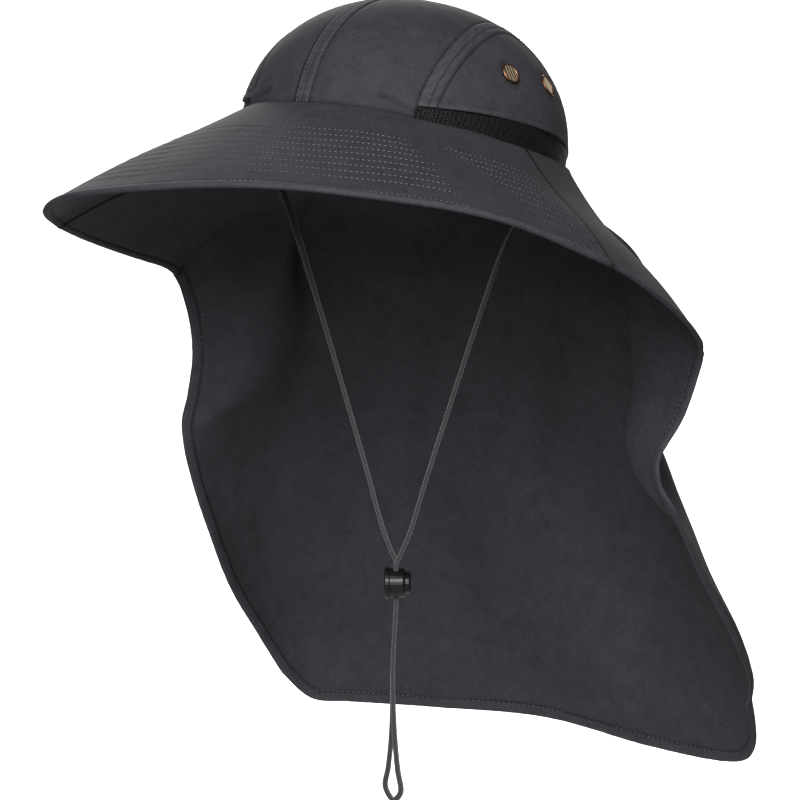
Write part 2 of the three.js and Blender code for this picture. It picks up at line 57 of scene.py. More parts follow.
# Head opening and crown, in millimetres and degrees
HEAD_WIDTH = 171.6
HEAD_LENGTH = 204.6
OPENING_WAVE = 2.5
WORN_PITCH = 22.4
WORN_ROLL = 3.9
CROWN_HEIGHT = 78.8
CROWN_FULLNESS = 2.14
CROWN_LEAN = 8.0
CROWN_WALL = 1.6
CROWN_SKIRT = 1.4
CROWN_SPAN = 70.0

# Arched side panel and mesh vent
ARCH_FRONT_SPAN = 92.0
ARCH_BACK_SPAN = 78.0
ARCH_HEIGHT = 69.5
ARCH_FULLNESS = 1.8
ARCH_CENTRE = 10.0
VENT_CENTRE = -5.0
VENT_HEIGHT = 12.0
VENT_FALL = 4.3
VENT_FALL_SPAN = 75.0

# Vent eyelets: place along and height on the side of the crown
EYELETS = {"front": (-25.3, 37.1), "back": (13.2, 38.7)}
EYELET_DIAMETER = 12.4
EYELET_HOLE = 10.0

# Brim
BRIM_WIDTH = 118.0
BRIM_WALL = 2.4
BRIM_ARCH = 2.0
BRIM_WAVE = 2.4
SEAM_BASE_ANGLE = 77.5
SEAM_RIM_ANGLE = 69.5
CORNER_ANGLE = 107.0
CLEARANCE = 0.3

# Neck flap
FLAP_WALL = 1.6
FLAP_DROP = 388.0
FLAP_HALF_WIDTH = 169.0
FLAP_DEPTH = 171.0

# Chin cord and lock
CORD_WIDTH = 2.4
CORD_THICKNESS = 1.3
CORD_PLANE = -8.0
CORD_BASE_ANGLE = 85.0
LOCK_HEIGHT = -248.0
LOCK_DIAMETER = 17.6
LOCK_TURN = 30.0

# Angle from the front, reach left and right, drop left and right, as shares of the brim's width
RIM_TABLE = (
    (0, 0.84, 0.84, 0.514, 0.514),
    (22, 0.841, 0.836, 0.488, 0.545),
    (45, 0.836, 0.836, 0.489, 0.561),
    (66, 0.808, 0.811, 0.562, 0.565),
    (88, 0.775, 0.779, 0.684, 0.574),
    (107, 0.764, 0.759, 0.787, 0.587),
)

# Drop, skew, sway, then x and y of the edge, valley, side, back and middle columns, as shares of the sizes
FLAP_TABLE = (
    (0.335, 0.01, 0, 0.941, 0.17, 0.698, 0.292, 0.639, 0.503, 0.414, 0.684, 0, 0.76),
    (0.392, 0.018, -0.006, 0.889, 0.117, 0.692, 0.257, 0.633, 0.515, 0.432, 0.719, 0, 0.795),
    (0.443, 0.01, -0.008, 0.901, 0.105, 0.751, 0.211, 0.663, 0.52, 0.462, 0.749, 0, 0.825),
    (0.485, 0, -0.007, 0.941, 0.123, 0.84, 0.187, 0.698, 0.532, 0.479, 0.772, 0, 0.842),
    (0.546, -0.018, -0.006, 0.947, 0.181, 0.888, 0.298, 0.752, 0.544, 0.497, 0.795, 0, 0.871),
    (0.631, -0.028, -0.006, 0.956, 0.292, 0.915, 0.404, 0.809, 0.579, 0.515, 0.83, 0, 0.906),
    (0.755, -0.034, -0.009, 0.982, 0.491, 0.948, 0.608, 0.86, 0.702, 0.521, 0.877, 0, 0.953),
    (0.889, -0.041, -0.011, 0.962, 0.725, 0.935, 0.784, 0.845, 0.86, 0.491, 0.93, 0, 0.982),
    (1, -0.05, -0.006, 0.92, 0.83, 0.87, 0.872, 0.757, 0.912, 0.426, 0.953, 0, 1),
)

# Each column's angle at the head opening, its brow x, y and drop, and the drop of its hem
FLAP_COLUMNS = (
    (107, 1, 0.183, 0.255, 0.925),
    (119, 0.651, 0.304, 0.206, 0.983),
    (135, 0.686, 0.468, 0.237, 1),
    (158, 0.402, 0.62, 0.268, 0.998),
    (180, 0, 0.684, 0.278, 0.99),
)

# One strand of the cord in its hanging plane: distance from the middle, and height
STRAND_ROUTE = (
    (76, -26),
    (68.4, -42),
    (56.4, -75),
    (43.9, -111),
    (31.4, -148),
    (18.7, -186),
    (9.6, -215),
    (3.9, -228.5),
)
LOOP_DROP = 378.5
LOOP_RADIUS = 6.2
LOOP_TURN = 45.0
TAIL_DRIFT = -2.2
TAIL_BEND = -298.0
LOOP_NECK = -338.0
LOOP_SHOULDER = -359.0
CORD_RINGS = 520
CORD_FACING = (0.35, -0.94, 0.0)
LOCK_NODES = ("cord_lock_barrel", "cord_lock_button")

# Quilting: distance of its first row from the rim, and how many rows
QUILT_START = 17.0
QUILT_ROWS = 9

# Width across the seams: the front seam band, the band inside the arch and the hems
SEAM_MIDDLE = -7.6
SEAM_HALF = 4.6
SEAM_STITCH = 3.3
ARCH_STITCH = 4.7
ARCH_CREASE = 5.8
ARCH_BAND = 10.4
VENT_STITCH = 2.0
RIM_STITCH = 4.6
HEM_STITCH = 6.2

# The crease that gathers the crown in front of the arch's foot
PINCH = ((33.3, -92.0, 10.5), (39.1, -89.0, 9.0), (44.9, -85.5, 6.0), (50.8, -81.0, 3.5), (55.1, -77.0, 2.5))

# Camera: its angles, its distance in metres, its aim beside and above the origin, and the picture's scale
CAMERA_AZIMUTH = 30.28
CAMERA_ELEVATION = 16.17
CAMERA_DISTANCE = 2.5
CAMERA_AIM = (-0.00198, -0.13826)
CAMERA_SENSOR = 36.0
PICTURE_PIXELS = 800
PIXELS_PER_METRE = 1840.0

# Lamps: name, place, aim, size, share of the front lamp's power, and spread
LAMPS = (
    ("front", (0.716, -2.673, 1.627), (0, 0, -0.17), 1.6, 1, 50),
    ("side", (2.049, -0.549, 2.358), (0, 0, -0.17), 1.0, 0.2, 50),
    ("back", (-1.851, 2.644, 0.516), (0, 0, -0.17), 1.6, 0.5, 50),
    ("floor", (-2.4, 4.1, 0.1), (-2.4, 4.1, -1.3), 5.0, 12, 60),
    ("front floor", (3.3, -3.3, 0.1), (3.3, -3.3, -1.3), 5.0, 4, 60),
)
FLOOR_HEIGHT = -1.3
FLOOR_REACH = 15


# ---- Shapes ----


def smooth(places, values, at):
    """Value of a smooth curve through table rows at each place."""
    places = np.asarray(places, float)
    at = np.atleast_1d(np.asarray(at, float))
    values = np.asarray(values, float)
    if values.ndim == 1:
        values = np.repeat(values[:, None], at.size, axis=1)
    last = len(places) - 1
    low = np.maximum(np.arange(last + 1) - 1, 0)
    high = np.minimum(np.arange(last + 1) + 1, last)
    slope = (values[high] - values[low]) / (places[high] - places[low])[:, None]
    row = np.clip(np.searchsorted(places, at) - 1, 0, last - 1)
    one = np.arange(at.size)
    a, b = values[row, one], values[row + 1, one]
    slope_a, slope_b = slope[row, one], slope[row + 1, one]
    span = places[row + 1] - places[row]
    t = (at - places[row]) / span
    rise = 3 * (b - a) - span * (2 * slope_a + slope_b)
    bend = 2 * (a - b) + span * (slope_a + slope_b)
    return a + span * slope_a * t + rise * t**2 + bend * t**3


def step_between(low, high, value):
    t = np.clip((np.asarray(value, float) - low) / (high - low), 0, 1)
    return t * t * (3 - 2 * t)


def groove(distance, width):
    """1 on a line, fading to nothing about two widths away."""
    return np.exp(-((np.asarray(distance) / width) ** 2))


PITCH = Matrix.Rotation(-math.radians(WORN_PITCH), 3, "X")
ROLL = Matrix.Rotation(-math.radians(WORN_ROLL), 3, "Y")
WORN = np.array(PITCH @ ROLL)


def worn(points):
    """The hat's own level frame, turned as the hat is worn."""
    return np.atleast_2d(points) @ WORN.T


def opening(angle, outward):
    """Points round the head opening, by angle from the front."""
    turn = np.radians(np.atleast_1d(np.asarray(angle, float)))
    return np.stack(
        [
            (HEAD_WIDTH / 2 + outward) * np.sin(turn),
            -(HEAD_LENGTH / 2 + outward) * np.cos(turn),
            OPENING_WAVE * np.cos(2 * turn),
        ],
        axis=1,
    )


def crown_inside(points):
    """Under 1 inside the crown's wall, 1 on it and over 1 outside."""
    half_width = (HEAD_WIDTH - CROWN_WALL) / 2
    half_length = (HEAD_LENGTH - CROWN_WALL) / 2
    x, y, z = points.T
    base = OPENING_WAVE * np.cos(2 * np.arctan2(x / half_width, -y / half_length))
    height = np.maximum((z - base) / (CROWN_HEIGHT - base), 0)
    reach = np.hypot(x / half_width, (y - CROWN_LEAN * height) / half_length)
    return reach**CROWN_FULLNESS + height**CROWN_FULLNESS


def on_crown(points):
    """Each point moved along its ray from the middle of the crown onto the crown's wall."""
    heart = np.array([0, ARCH_CENTRE, 0])
    way = np.asarray(points, float) - heart
    low = np.full(len(way), 0.02)
    high = np.full(len(way), 12.0)
    for _ in range(30):
        middle = (low + high) / 2
        inside = crown_inside(heart + way * middle[:, None]) < 1
        low = np.where(inside, middle, low)
        high = np.where(inside, high, middle)
    return heart + way * ((low + high) / 2)[:, None]


def crown_side(y, z, side):
    """The crown's wall, seen from the side at a place y and a height z."""
    y, z = np.broadcast_arrays(np.asarray(y, float), np.asarray(z, float))
    low = np.zeros(y.size)
    high = np.full(y.size, HEAD_WIDTH)
    for _ in range(30):
        middle = (low + high) / 2
        inside = crown_inside(np.stack([middle, y.ravel(), z.ravel()], axis=1)) < 1
        low = np.where(inside, middle, low)
        high = np.where(inside, high, middle)
    return np.stack([side * (low + high) / 2, y.ravel(), z.ravel()], axis=1)


def arch(turn):
    """Place and height on the arch: turn 0 is its back foot and pi its front foot."""
    turn = np.asarray(turn, float)
    span = np.where(turn < math.pi / 2, ARCH_BACK_SPAN, ARCH_FRONT_SPAN)
    away = np.sign(np.cos(turn)) * np.abs(np.cos(turn)) ** (2 / ARCH_FULLNESS)
    up = np.sin(turn) ** (2 / ARCH_FULLNESS)
    return ARCH_CENTRE + span * away, ARCH_HEIGHT * up


def vent_line(y):
    """Height of the line between side panel and mesh vent."""
    return VENT_HEIGHT - VENT_FALL * ((np.asarray(y, float) - VENT_CENTRE) / VENT_FALL_SPAN) ** 2


def rim(angle):
    """Points of the brim's outer edge, by angle from the front."""
    angles = [row[0] for row in RIM_TABLE]
    places = [-a for a in angles[:0:-1]] + angles

    def both(left, right):
        return [row[right] for row in RIM_TABLE[:0:-1]] + [row[left] for row in RIM_TABLE]

    angle = np.atleast_1d(np.asarray(angle, float))
    reach = BRIM_WIDTH * smooth(places, both(1, 2), angle)
    drop = BRIM_WIDTH * smooth(places, both(3, 4), angle)
    turn = np.radians(angle)
    return np.stack(
        [(HEAD_WIDTH / 2 + reach) * np.sin(turn), -(HEAD_LENGTH / 2 + reach) * np.cos(turn), -drop],
        axis=1,
    )


def slope_lift(rim_angle, share):
    """How far the sloping cloth lies above a straight line from the head opening to the rim."""
    turn = np.radians(rim_angle)
    lift = BRIM_ARCH * np.cos(1.2 * turn) * np.sin(math.pi * share)
    return lift - BRIM_WAVE * (1 - np.cos(turn)) * np.sin(2 * math.pi * share)


def brim_point(base_angle, rim_angle, share):
    """A point of the brim from the head opening to the rim."""
    share = np.atleast_1d(np.asarray(share, float))
    start = opening(base_angle, CLEARANCE + BRIM_WALL / 2)
    point = start + (rim(rim_angle) - start) * share[:, None]
    point[:, 2] += slope_lift(rim_angle, share)
    return point


def column_point(side, k, way):
    """Points down one column of the hanging flap, from its brow to its hem."""
    _, brow_x, brow_y, brow_drop, hem_drop = FLAP_COLUMNS[k]
    places = [brow_drop] + [row[0] for row in FLAP_TABLE]
    skews = [0] + [row[1] for row in FLAP_TABLE]
    sways = [0] + [row[2] for row in FLAP_TABLE]
    fade = side * (1 - k / (len(FLAP_COLUMNS) - 1)) ** 2
    hem = hem_drop + fade * smooth(places, skews, 1)[0]
    drop = brow_drop + (hem - brow_drop) * np.asarray(way, float)
    level = drop - fade * smooth(places, skews, drop)
    xs = [brow_x] + [row[3 + 2 * k] for row in FLAP_TABLE]
    ys = [brow_y] + [row[4 + 2 * k] for row in FLAP_TABLE]
    away = side * smooth(places, xs, level) + smooth(places, sways, level)
    return np.stack(
        [FLAP_HALF_WIDTH * away, FLAP_DEPTH * smooth(places, ys, level), -FLAP_DROP * drop],
        axis=1,
    )


def curtain_point(side, place, way):
    """The hanging part of the flap: place 0 is its front edge and place 1 the middle of the back."""
    place = np.asarray(place, float)
    way = np.asarray(way, float)
    count = len(FLAP_COLUMNS)
    keys = [column_point(side, k, way) for k in range(count)] + [column_point(-side, count - 2, way)]
    spots = [k / (count - 1) for k in range(count)] + [count / (count - 1)]
    keys = np.stack(keys)
    return np.stack([smooth(spots, keys[:, :, axis], place) for axis in range(3)], axis=1)


def flap_point(side, place, way):
    """The flap behind the brim: way -1 is the head opening, 0 the brow and 1 the hem."""
    place, way = np.broadcast_arrays(np.asarray(place, float), np.asarray(way, float))
    place, way = place.ravel(), way.ravel()
    count = len(FLAP_COLUMNS)
    spots = [k / (count - 1) for k in range(count)]
    base = smooth(spots, [row[0] for row in FLAP_COLUMNS], place)
    hold = np.maximum(0, 1 - place * (count - 1)) ** 2
    corner = worn(rim(side * CORNER_ANGLE))
    top = worn(opening(side * base, CLEARANCE + BRIM_WALL / 2))
    brow = curtain_point(side, place, np.zeros(place.size))
    following = curtain_point(side, place, np.full(place.size, 1 / 13))
    share = np.clip(way + 1, 0, 1)
    slope = top + (brow - top) * share[:, None]
    slope += (brow - following) * (share**2 * (1 - share) * 2 * (1 - hold))[:, None]
    lift = worn(np.array([[0, 0, 1.0]]))
    slope += lift * slope_lift(CORNER_ANGLE, share)[:, None]
    slope += (corner - brow) * (hold * share)[:, None]
    fall = curtain_point(side, place, np.clip(way, 0, 1))
    fall += (corner - brow) * (hold * np.maximum(0, 1 - 2.5 * np.clip(way, 0, 1)) ** 2)[:, None]
    return np.where((way < 0)[:, None], slope, fall)


# ---- Meshes ----


def new_object(name, mesh):
    thing = bpy.data.objects.new(name, mesh)
    bpy.context.scene.collection.objects.link(thing)
    return thing


def object_from(bm, name, smooth=True):
    """The finished bmesh as an object of the scene."""
    for face in bm.faces:
        face.smooth = smooth
    mesh = bpy.data.meshes.new(name)
    bm.to_mesh(mesh)
    bm.free()
    return new_object(name, mesh)


def write_shade(mesh, values):
    """Painted shade and painted highlight: how much darker or lighter than its cloth each point is, which the
    finishes read.
    """
    tone = mesh.attributes.new("shade", "FLOAT", "POINT")
    tone.data.foreach_set("value", np.ascontiguousarray(values, dtype=np.float32))


def unit(vectors):
    return vectors / np.linalg.norm(vectors, axis=-1, keepdims=True)


def cloth_sheet(name, grids, outward, dress):
    """Sheets of points made from flat grids and sewn where they meet, then dressed.

    dress gives each point's height over the sheet, how much lighter or darker it is by painted shade and
    painted highlight, and how thick the cloth is there.
    """
    bm = bmesh.new()
    for points in grids:
        columns, rows = points.shape[0] - 1, points.shape[1] - 1
        made = bmesh.ops.create_grid(bm, x_segments=columns, y_segments=rows, size=0.5)["verts"]
        for vert in made:
            i, j = round((vert.co.x + 0.5) * columns), round((vert.co.y + 0.5) * rows)
            vert.co = points[i, j] * 0.001
    bmesh.ops.remove_doubles(bm, verts=bm.verts, dist=1e-6)
    bmesh.ops.recalc_face_normals(bm, faces=bm.faces)
    bm.faces.ensure_lookup_table()
    middle = bm.faces[len(bm.faces) // 2]
    if middle.normal.dot(outward(middle.calc_center_median())) < 0:
        bmesh.ops.reverse_faces(bm, faces=bm.faces)
    bm.normal_update()
    spots = np.array([v.co for v in bm.verts]) * 1000
    height, shade, walls = (np.broadcast_to(values, len(spots)) for values in dress(spots))
    for vert, up in zip(bm.verts, height):
        vert.co += vert.normal * float(up * 0.001)
    thing = object_from(bm, name)
    write_shade(thing.data, shade)
    solid = thing.modifiers.new("Wall", "SOLIDIFY")
    solid.offset = 0
    solid.thickness = float(walls.max()) * 0.001
    if walls.max() - walls.min() > 0.01:
        group = thing.vertex_groups.new(name="wall")
        for k, share in enumerate(walls / walls.max()):
            group.add([k], float(share), "REPLACE")
        solid.vertex_group = "wall"
    return thing


def grid_points(function, us, vs):
    """A shape's points over two lists of places."""
    u, v = np.meshgrid(us, vs, indexing="ij")
    return function(u.ravel(), v.ravel()).reshape(len(us), len(vs), 3)


def unworn(points):
    """Points of the hat as worn, back in its own level frame."""
    return points @ WORN


def worn_grid(points):
    return worn(points.reshape(-1, 3)).reshape(points.shape)


def opening_height(flat):
    """Height of the head opening at the place of each point, in the hat's level frame."""
    turn = np.arctan2(flat[:, 0] / HEAD_WIDTH, -flat[:, 1] / HEAD_LENGTH)
    return OPENING_WAVE * np.cos(2 * turn)


class Line:
    """A line on the cloth, which gives the distance of points from it."""

    def __init__(self, points, labels=None, step=0.5):
        points, along = polyline(points)
        count = max(2, int(along[-1] / step))
        places = np.linspace(0, along[-1], count)
        self.points = at_place(points, along, places)
        self.labels = None if labels is None else np.interp(places, along, labels)
        self.tree = KDTree(count)
        for k, point in enumerate(self.points):
            self.tree.insert(point, k)
        self.tree.balance()

    def measure(self, points):
        found = [self.tree.find(point)[1:] for point in points]
        index = np.array([k for k, _ in found])
        return np.array([distance for _, distance in found]), index


def finish_piece(thing, material, slot, *nodes, body="hat"):
    thing.data.materials.append(material)
    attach(thing, body)
    if nodes:
        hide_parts(*nodes)
    return thing


def stops(length, near, far, count):
    """Distances from 0 to length: these near stops, even ones between, and these far stops from the end."""
    start, end = near[-1], length - far[-1]
    between = [start + (end - start) * k / count for k in range(1, count)]
    return list(near) + between + [length - d for d in reversed(far)]


# ---- Stitches ----


def sewing():
    """Length of a stitch and the gap after it."""
    settings = bpy.context.scene.bush_hat
    return settings.stitch_length * 1000, settings.stitch_gap * 1000


def polyline(points):
    """Points and how far along the line each one lies."""
    points = np.asarray(points, float)
    steps = np.linalg.norm(np.diff(points, axis=0), axis=1)
    return points, np.concatenate([[0], np.cumsum(steps)])


def at_place(values, along, place):
    """Values of a line's points at a place, or at several places, along it."""
    return np.stack([np.interp(place, along, values[:, axis]) for axis in range(3)], axis=-1)


def stitch_row(points, normals, length, gap, start=0.0):
    """Middle, direction and outward normal of each stitch along a line on the cloth."""
    points, along = polyline(points)
    normals = np.asarray(normals, float)
    places = np.arange(start + length, along[-1] - length, length + gap)
    found = []
    for place in places:
        a, b = (at_place(points, along, place + shift) for shift in (-length / 2, length / 2))
        found.append(((a + b) / 2, unit(b - a), unit(at_place(normals, along, place))))
    return found


def stitches(name, rows, length, width, slot, shade):
    """Every stitch of these rows as one mesh of small rounded threads."""
    bm = bmesh.new()
    bmesh.ops.create_icosphere(bm, subdivisions=1, radius=1)
    shape = np.array([v.co for v in bm.verts])
    faces = np.array([[v.index for v in f.verts] for f in bm.faces])
    bm.free()
    shape = np.sign(shape) * np.abs(shape) ** 0.8
    points, polygons, tones = [], [], []
    for middle, along, normal in (stitch for row in rows for stitch in row):
        tones += [shade(middle)] * len(shape)
        across = unit(np.cross(normal, along))
        normal = np.cross(along, across)
        local = shape * [length / 2, width / 2, width / 2]
        polygons.append(faces + len(points) * len(shape))
        points.append(middle + local @ np.stack([along, across, normal]))
    mesh = bpy.data.meshes.new(name)
    mesh.from_pydata((np.concatenate(points) * 0.001).tolist(), [], np.concatenate(polygons).tolist())
    for polygon in mesh.polygons:
        polygon.use_smooth = True
    write_shade(mesh, tones)
    finish_piece(new_object(name, mesh), thread_finish(), slot)


# ---- Materials ----


def linear(red, green, blue):
    """Picture values from 0 to 255 as the light values that shaders use."""
    values = [c / 255 for c in (red, green, blue)]
    return tuple(c / 12.92 if c <= 0.04045 else ((c + 0.055) / 1.055) ** 2.4 for c in values) + (1.0,)


class Value:
    """A shader socket with arithmetic."""

    def __init__(self, tree, socket):
        self.tree = tree
        self.socket = socket

    def math(self, operation, *others):
        node = self.tree.nodes.new("ShaderNodeMath")
        node.operation = operation
        for index, value in enumerate((self, *others)):
            if isinstance(value, Value):
                self.tree.links.new(value.socket, node.inputs[index])
            else:
                node.inputs[index].default_value = value
        return Value(self.tree, node.outputs[0])

    def __add__(self, other):
        return self.math("ADD", other)

    __radd__ = __add__

    def __mul__(self, other):
        return self.math("MULTIPLY", other)

    __rmul__ = __mul__


class Finish:
    """A material and the one way to add a node to it."""

    def __init__(self, name, **constants):
        self.material = bpy.data.materials.new(name)
        self.material.use_nodes = True
        self.tree = self.material.node_tree
        self.shader = self.tree.nodes["Principled BSDF"]
        for socket, value in constants.items():
            self.shader.inputs[socket.replace("_", " ")].default_value = value

    def node(self, kind, settings=None, inputs=None, output=0):
        node = self.tree.nodes.new(kind)
        for key, value in (settings or {}).items():
            setattr(node, key, value)
        for key, value in (inputs or {}).items():
            if isinstance(value, Value):
                self.tree.links.new(value.socket, node.inputs[key])
            else:
                node.inputs[key].default_value = value
        return Value(self.tree, node.outputs[output])

    def place(self, kind="Object"):
        return self.node("ShaderNodeTexCoord", output=kind)

    def shaded(self, color):
        """The colour, lighter or darker by the painted shade and painted highlight that the piece carries."""
        shade = self.node("ShaderNodeAttribute", {"attribute_name": "shade"}, output=2)
        inputs = {0: color, "Scale": shade + 1.0}
        return self.node("ShaderNodeVectorMath", {"operation": "SCALE"}, inputs)

    def noise(self, vector, scale, detail=2.0, roughness=0.5):
        inputs = {"Vector": vector, "Scale": scale, "Detail": detail, "Roughness": roughness}
        return self.node("ShaderNodeTexNoise", None, inputs)

    def scaled(self, vector, scale, turn=(0, 0, 0)):
        return self.node("ShaderNodeMapping", None, {"Vector": vector, "Scale": scale, "Rotation": turn})

    def waves(self, vector, scale, direction, distortion=0.0, detail=0.0):
        settings = {"wave_type": "BANDS", "bands_direction": direction, "wave_profile": "SIN"}
        inputs = {"Vector": vector, "Scale": scale, "Distortion": distortion, "Detail": detail}
        return self.node("ShaderNodeTexWave", settings, inputs)

    def mix(self, factor, first, second):
        inputs = {"Factor": factor, 6: first, 7: second}
        return self.node("ShaderNodeMix", {"data_type": "RGBA"}, inputs, output=2)

    def between(self, value, low, high, bottom=0.0, top=1.0):
        inputs = {0: value, 1: low, 2: high, 3: bottom, 4: top}
        return self.node("ShaderNodeMapRange", {"clamp": True}, inputs)

    def bump(self, height, strength, distance, normal=None):
        inputs = {"Height": height, "Strength": strength, "Distance": distance}
        if normal is not None:
            inputs["Normal"] = normal
        return self.node("ShaderNodeBump", None, inputs)

    def feed(self, **values):
        """Send values to the shader's sockets and give back the finished material."""
        for socket, value in values.items():
            self.tree.links.new(value.socket, self.shader.inputs[socket.replace("_", " ")])
        return self.material


def tinted(color, amount):
    return tuple(min(1.0, c * amount) for c in color[:3]) + (1.0,)


def woven(name, color):
    """Fine woven nylon with slubs and soft creases, darker or lighter by the painted shade and painted
    highlight that each piece carries.
    """
    finish = Finish(name, Specular_IOR_Level=0.22, Sheen_Weight=0.02, Sheen_Roughness=0.4)
    spot = finish.place()
    warp = finish.noise(finish.scaled(spot, (1500, 1500, 260)), 1.0, 1.0)
    weft = finish.noise(finish.scaled(spot, (330, 330, 1700)), 1.0, 1.0)
    fold = finish.noise(spot, 24.0, 3.0, 0.55)
    mottle = finish.noise(spot, 90.0, 4.0, 0.7)
    weave = (warp + weft) * 0.5
    tone = finish.between(weave * 0.6 + mottle * 0.4, 0.34, 0.66)
    soft = finish.bump(fold, 0.3, 0.003)
    return finish.feed(
        Base_Color=finish.shaded(finish.mix(tone, tinted(color, 0.7), tinted(color, 1.34))),
        Roughness=finish.between(weave, 0.3, 0.7, 0.74, 0.9),
        Normal=finish.bump(weave, 0.35, 0.0004, soft),
    )


def mesh_knit(name, color):
    """Black knit with painted shade in dark specks where its holes, which aren't cut, would show the dark
    inside of the crown.
    """
    finish = Finish(name, Specular_IOR_Level=0.3)
    settings = {"feature": "F1", "distance": "EUCLIDEAN"}
    inputs = {"Vector": finish.place(), "Scale": 620.0, "Randomness": 0.35}
    hole = finish.between(finish.node("ShaderNodeTexVoronoi", settings, inputs), 0.15, 0.55)
    return finish.feed(
        Base_Color=finish.mix(hole, tinted(color, 0.2), tinted(color, 1.6)),
        Roughness=finish.between(hole, 0, 1, 0.9, 0.6),
        Normal=finish.bump(hole, 0.9, 0.0006),
    )


def braided(name, color):
    """Flat braid: slanting strands that cross, with a darker middle and paler edges."""
    finish = Finish(name, Specular_IOR_Level=0.35, Sheen_Weight=0.2)
    spot = finish.place("UV")
    one, two = (
        finish.waves(finish.scaled(spot, (560, slant, 1)), 0.5, "DIAGONAL") for slant in (4.0, -4.0)
    )
    strand = one.math("MAXIMUM", two)
    around = finish.node("ShaderNodeSeparateXYZ", None, {0: spot}, output=1)
    edge = (around * (2 * math.pi)).math("COSINE").math("ABSOLUTE")
    tone = finish.between(strand * 0.35 + edge * edge * 0.75, 0.3, 1.0)
    return finish.feed(
        Base_Color=finish.mix(tone, tinted(color, 0.35), tinted(color, 1.5)),
        Roughness=finish.between(strand, 0, 1, 0.9, 0.7),
        Normal=finish.bump(strand, 0.7, 0.0004),
    )


def thread(name, color):
    """Sewing thread, darker or lighter where its own shade says so; on the brim's quilting this is painted
    shade and painted highlight.
    """
    finish = Finish(name, Specular_IOR_Level=0.4)
    ply = finish.noise(finish.place(), 1500.0)
    return finish.feed(
        Base_Color=finish.shaded(finish.mix(ply, tinted(color, 0.7), tinted(color, 1.3))),
        Roughness=finish.between(ply, 0.2, 0.8, 0.55, 0.8),
    )


def plated(name, color):
    """Copper-coloured plating, worn a little."""
    finish = Finish(name, Metallic=1.0)
    wear = finish.noise(finish.place(), 420.0, 4.0, 0.6)
    tone = finish.between(wear, 0.35, 0.7)
    return finish.feed(
        Base_Color=finish.mix(tone, tinted(color, 0.4), tinted(color, 1.25)),
        Roughness=finish.between(wear, 0.2, 0.8, 0.32, 0.55),
        Normal=finish.bump(wear, 0.15, 0.0002),
    )


def gauze(name, color, dark):
    """Backing gauze with slanting stripes, pale in its own colours and darker with painted shade in its
    shaded copy.
    """
    finish = Finish(name, Specular_IOR_Level=0.3)
    turned = finish.scaled(finish.place(), (1, 1, 1), (0.5, 0.0, 0.3))
    stripe = finish.waves(turned, 260.0, "DIAGONAL", 0.8, 1.0)
    return finish.feed(
        Base_Color=finish.mix(finish.between(stripe, 0.25, 0.7), dark, color),
        Roughness=finish.between(stripe, 0, 1, 0.85, 0.6),
        Normal=finish.bump(stripe, 0.5, 0.0004),
    )


def glossy(name, color):
    """Moulded glossy plastic with the faint ripple of its mould."""
    finish = Finish(name, Coat_Weight=0.12, Coat_Roughness=0.2, Specular_IOR_Level=0.4)
    ripple = finish.noise(finish.place(), 160.0, 3.0)
    return finish.feed(
        Base_Color=finish.mix(ripple, tinted(color, 0.8), tinted(color, 1.4)),
        Roughness=finish.between(ripple, 0.2, 0.8, 0.3, 0.45),
        Normal=finish.bump(ripple, 0.08, 0.0005),
    )


def studio_paper(name, color):
    """Pale matt paper under the hat."""
    finish = Finish(name, Specular_IOR_Level=0.1)
    grain = finish.noise(finish.place(), 3.0)
    return finish.feed(
        Base_Color=finish.mix(grain, tinted(color, 0.985), color),
        Roughness=finish.between(grain, 0, 1, 0.9, 0.95),
    )


MADE = {}


def material_of(name, build, *colors):
    """The material of this name, made the first time that it is asked for."""
    if name not in MADE:
        MADE[name] = build(name, *colors)
    return MADE[name]


def shell_cloth():
    return material_of("shell_cloth", woven, tuple(bpy.context.scene.bush_hat.cloth_color) + (1.0,))


def thread_finish():
    return material_of("seam_thread", thread, tuple(bpy.context.scene.bush_hat.thread_color) + (1.0,))


# ---- Settings ----


class BushHatSettings(bpy.types.PropertyGroup):
    """Sizes, colours and light that can be changed."""

    cloth_color: bpy.props.FloatVectorProperty(
        name="Cloth", description="Colour of the woven cloth", default=linear(56, 55, 60)[:3],
        subtype="COLOR", size=3, min=0, max=1,
    )
    thread_color: bpy.props.FloatVectorProperty(
        name="Thread", description="Colour of the stitching", default=linear(122, 122, 128)[:3],
        subtype="COLOR", size=3, min=0, max=1,
    )
    stitch_length: bpy.props.FloatProperty(
        name="Stitch length", description="Length of one stitch", default=0.0016,
        unit="LENGTH", min=0.0005, max=0.01,
    )
    stitch_gap: bpy.props.FloatProperty(
        name="Stitch gap", description="Space between stitches", default=0.0012,
        unit="LENGTH", min=0.0002, max=0.01,
    )
    quilt_spacing: bpy.props.FloatProperty(
        name="Quilt spacing", description="Space between the rows sewn on the brim", default=0.0075,
        unit="LENGTH", min=0.003, max=0.03,
    )
    lamp_power: bpy.props.FloatProperty(
        name="Lamp", description="Power of the front lamp", default=13.0, unit="POWER", min=0, max=2000,
    )


# ---- Operators ----


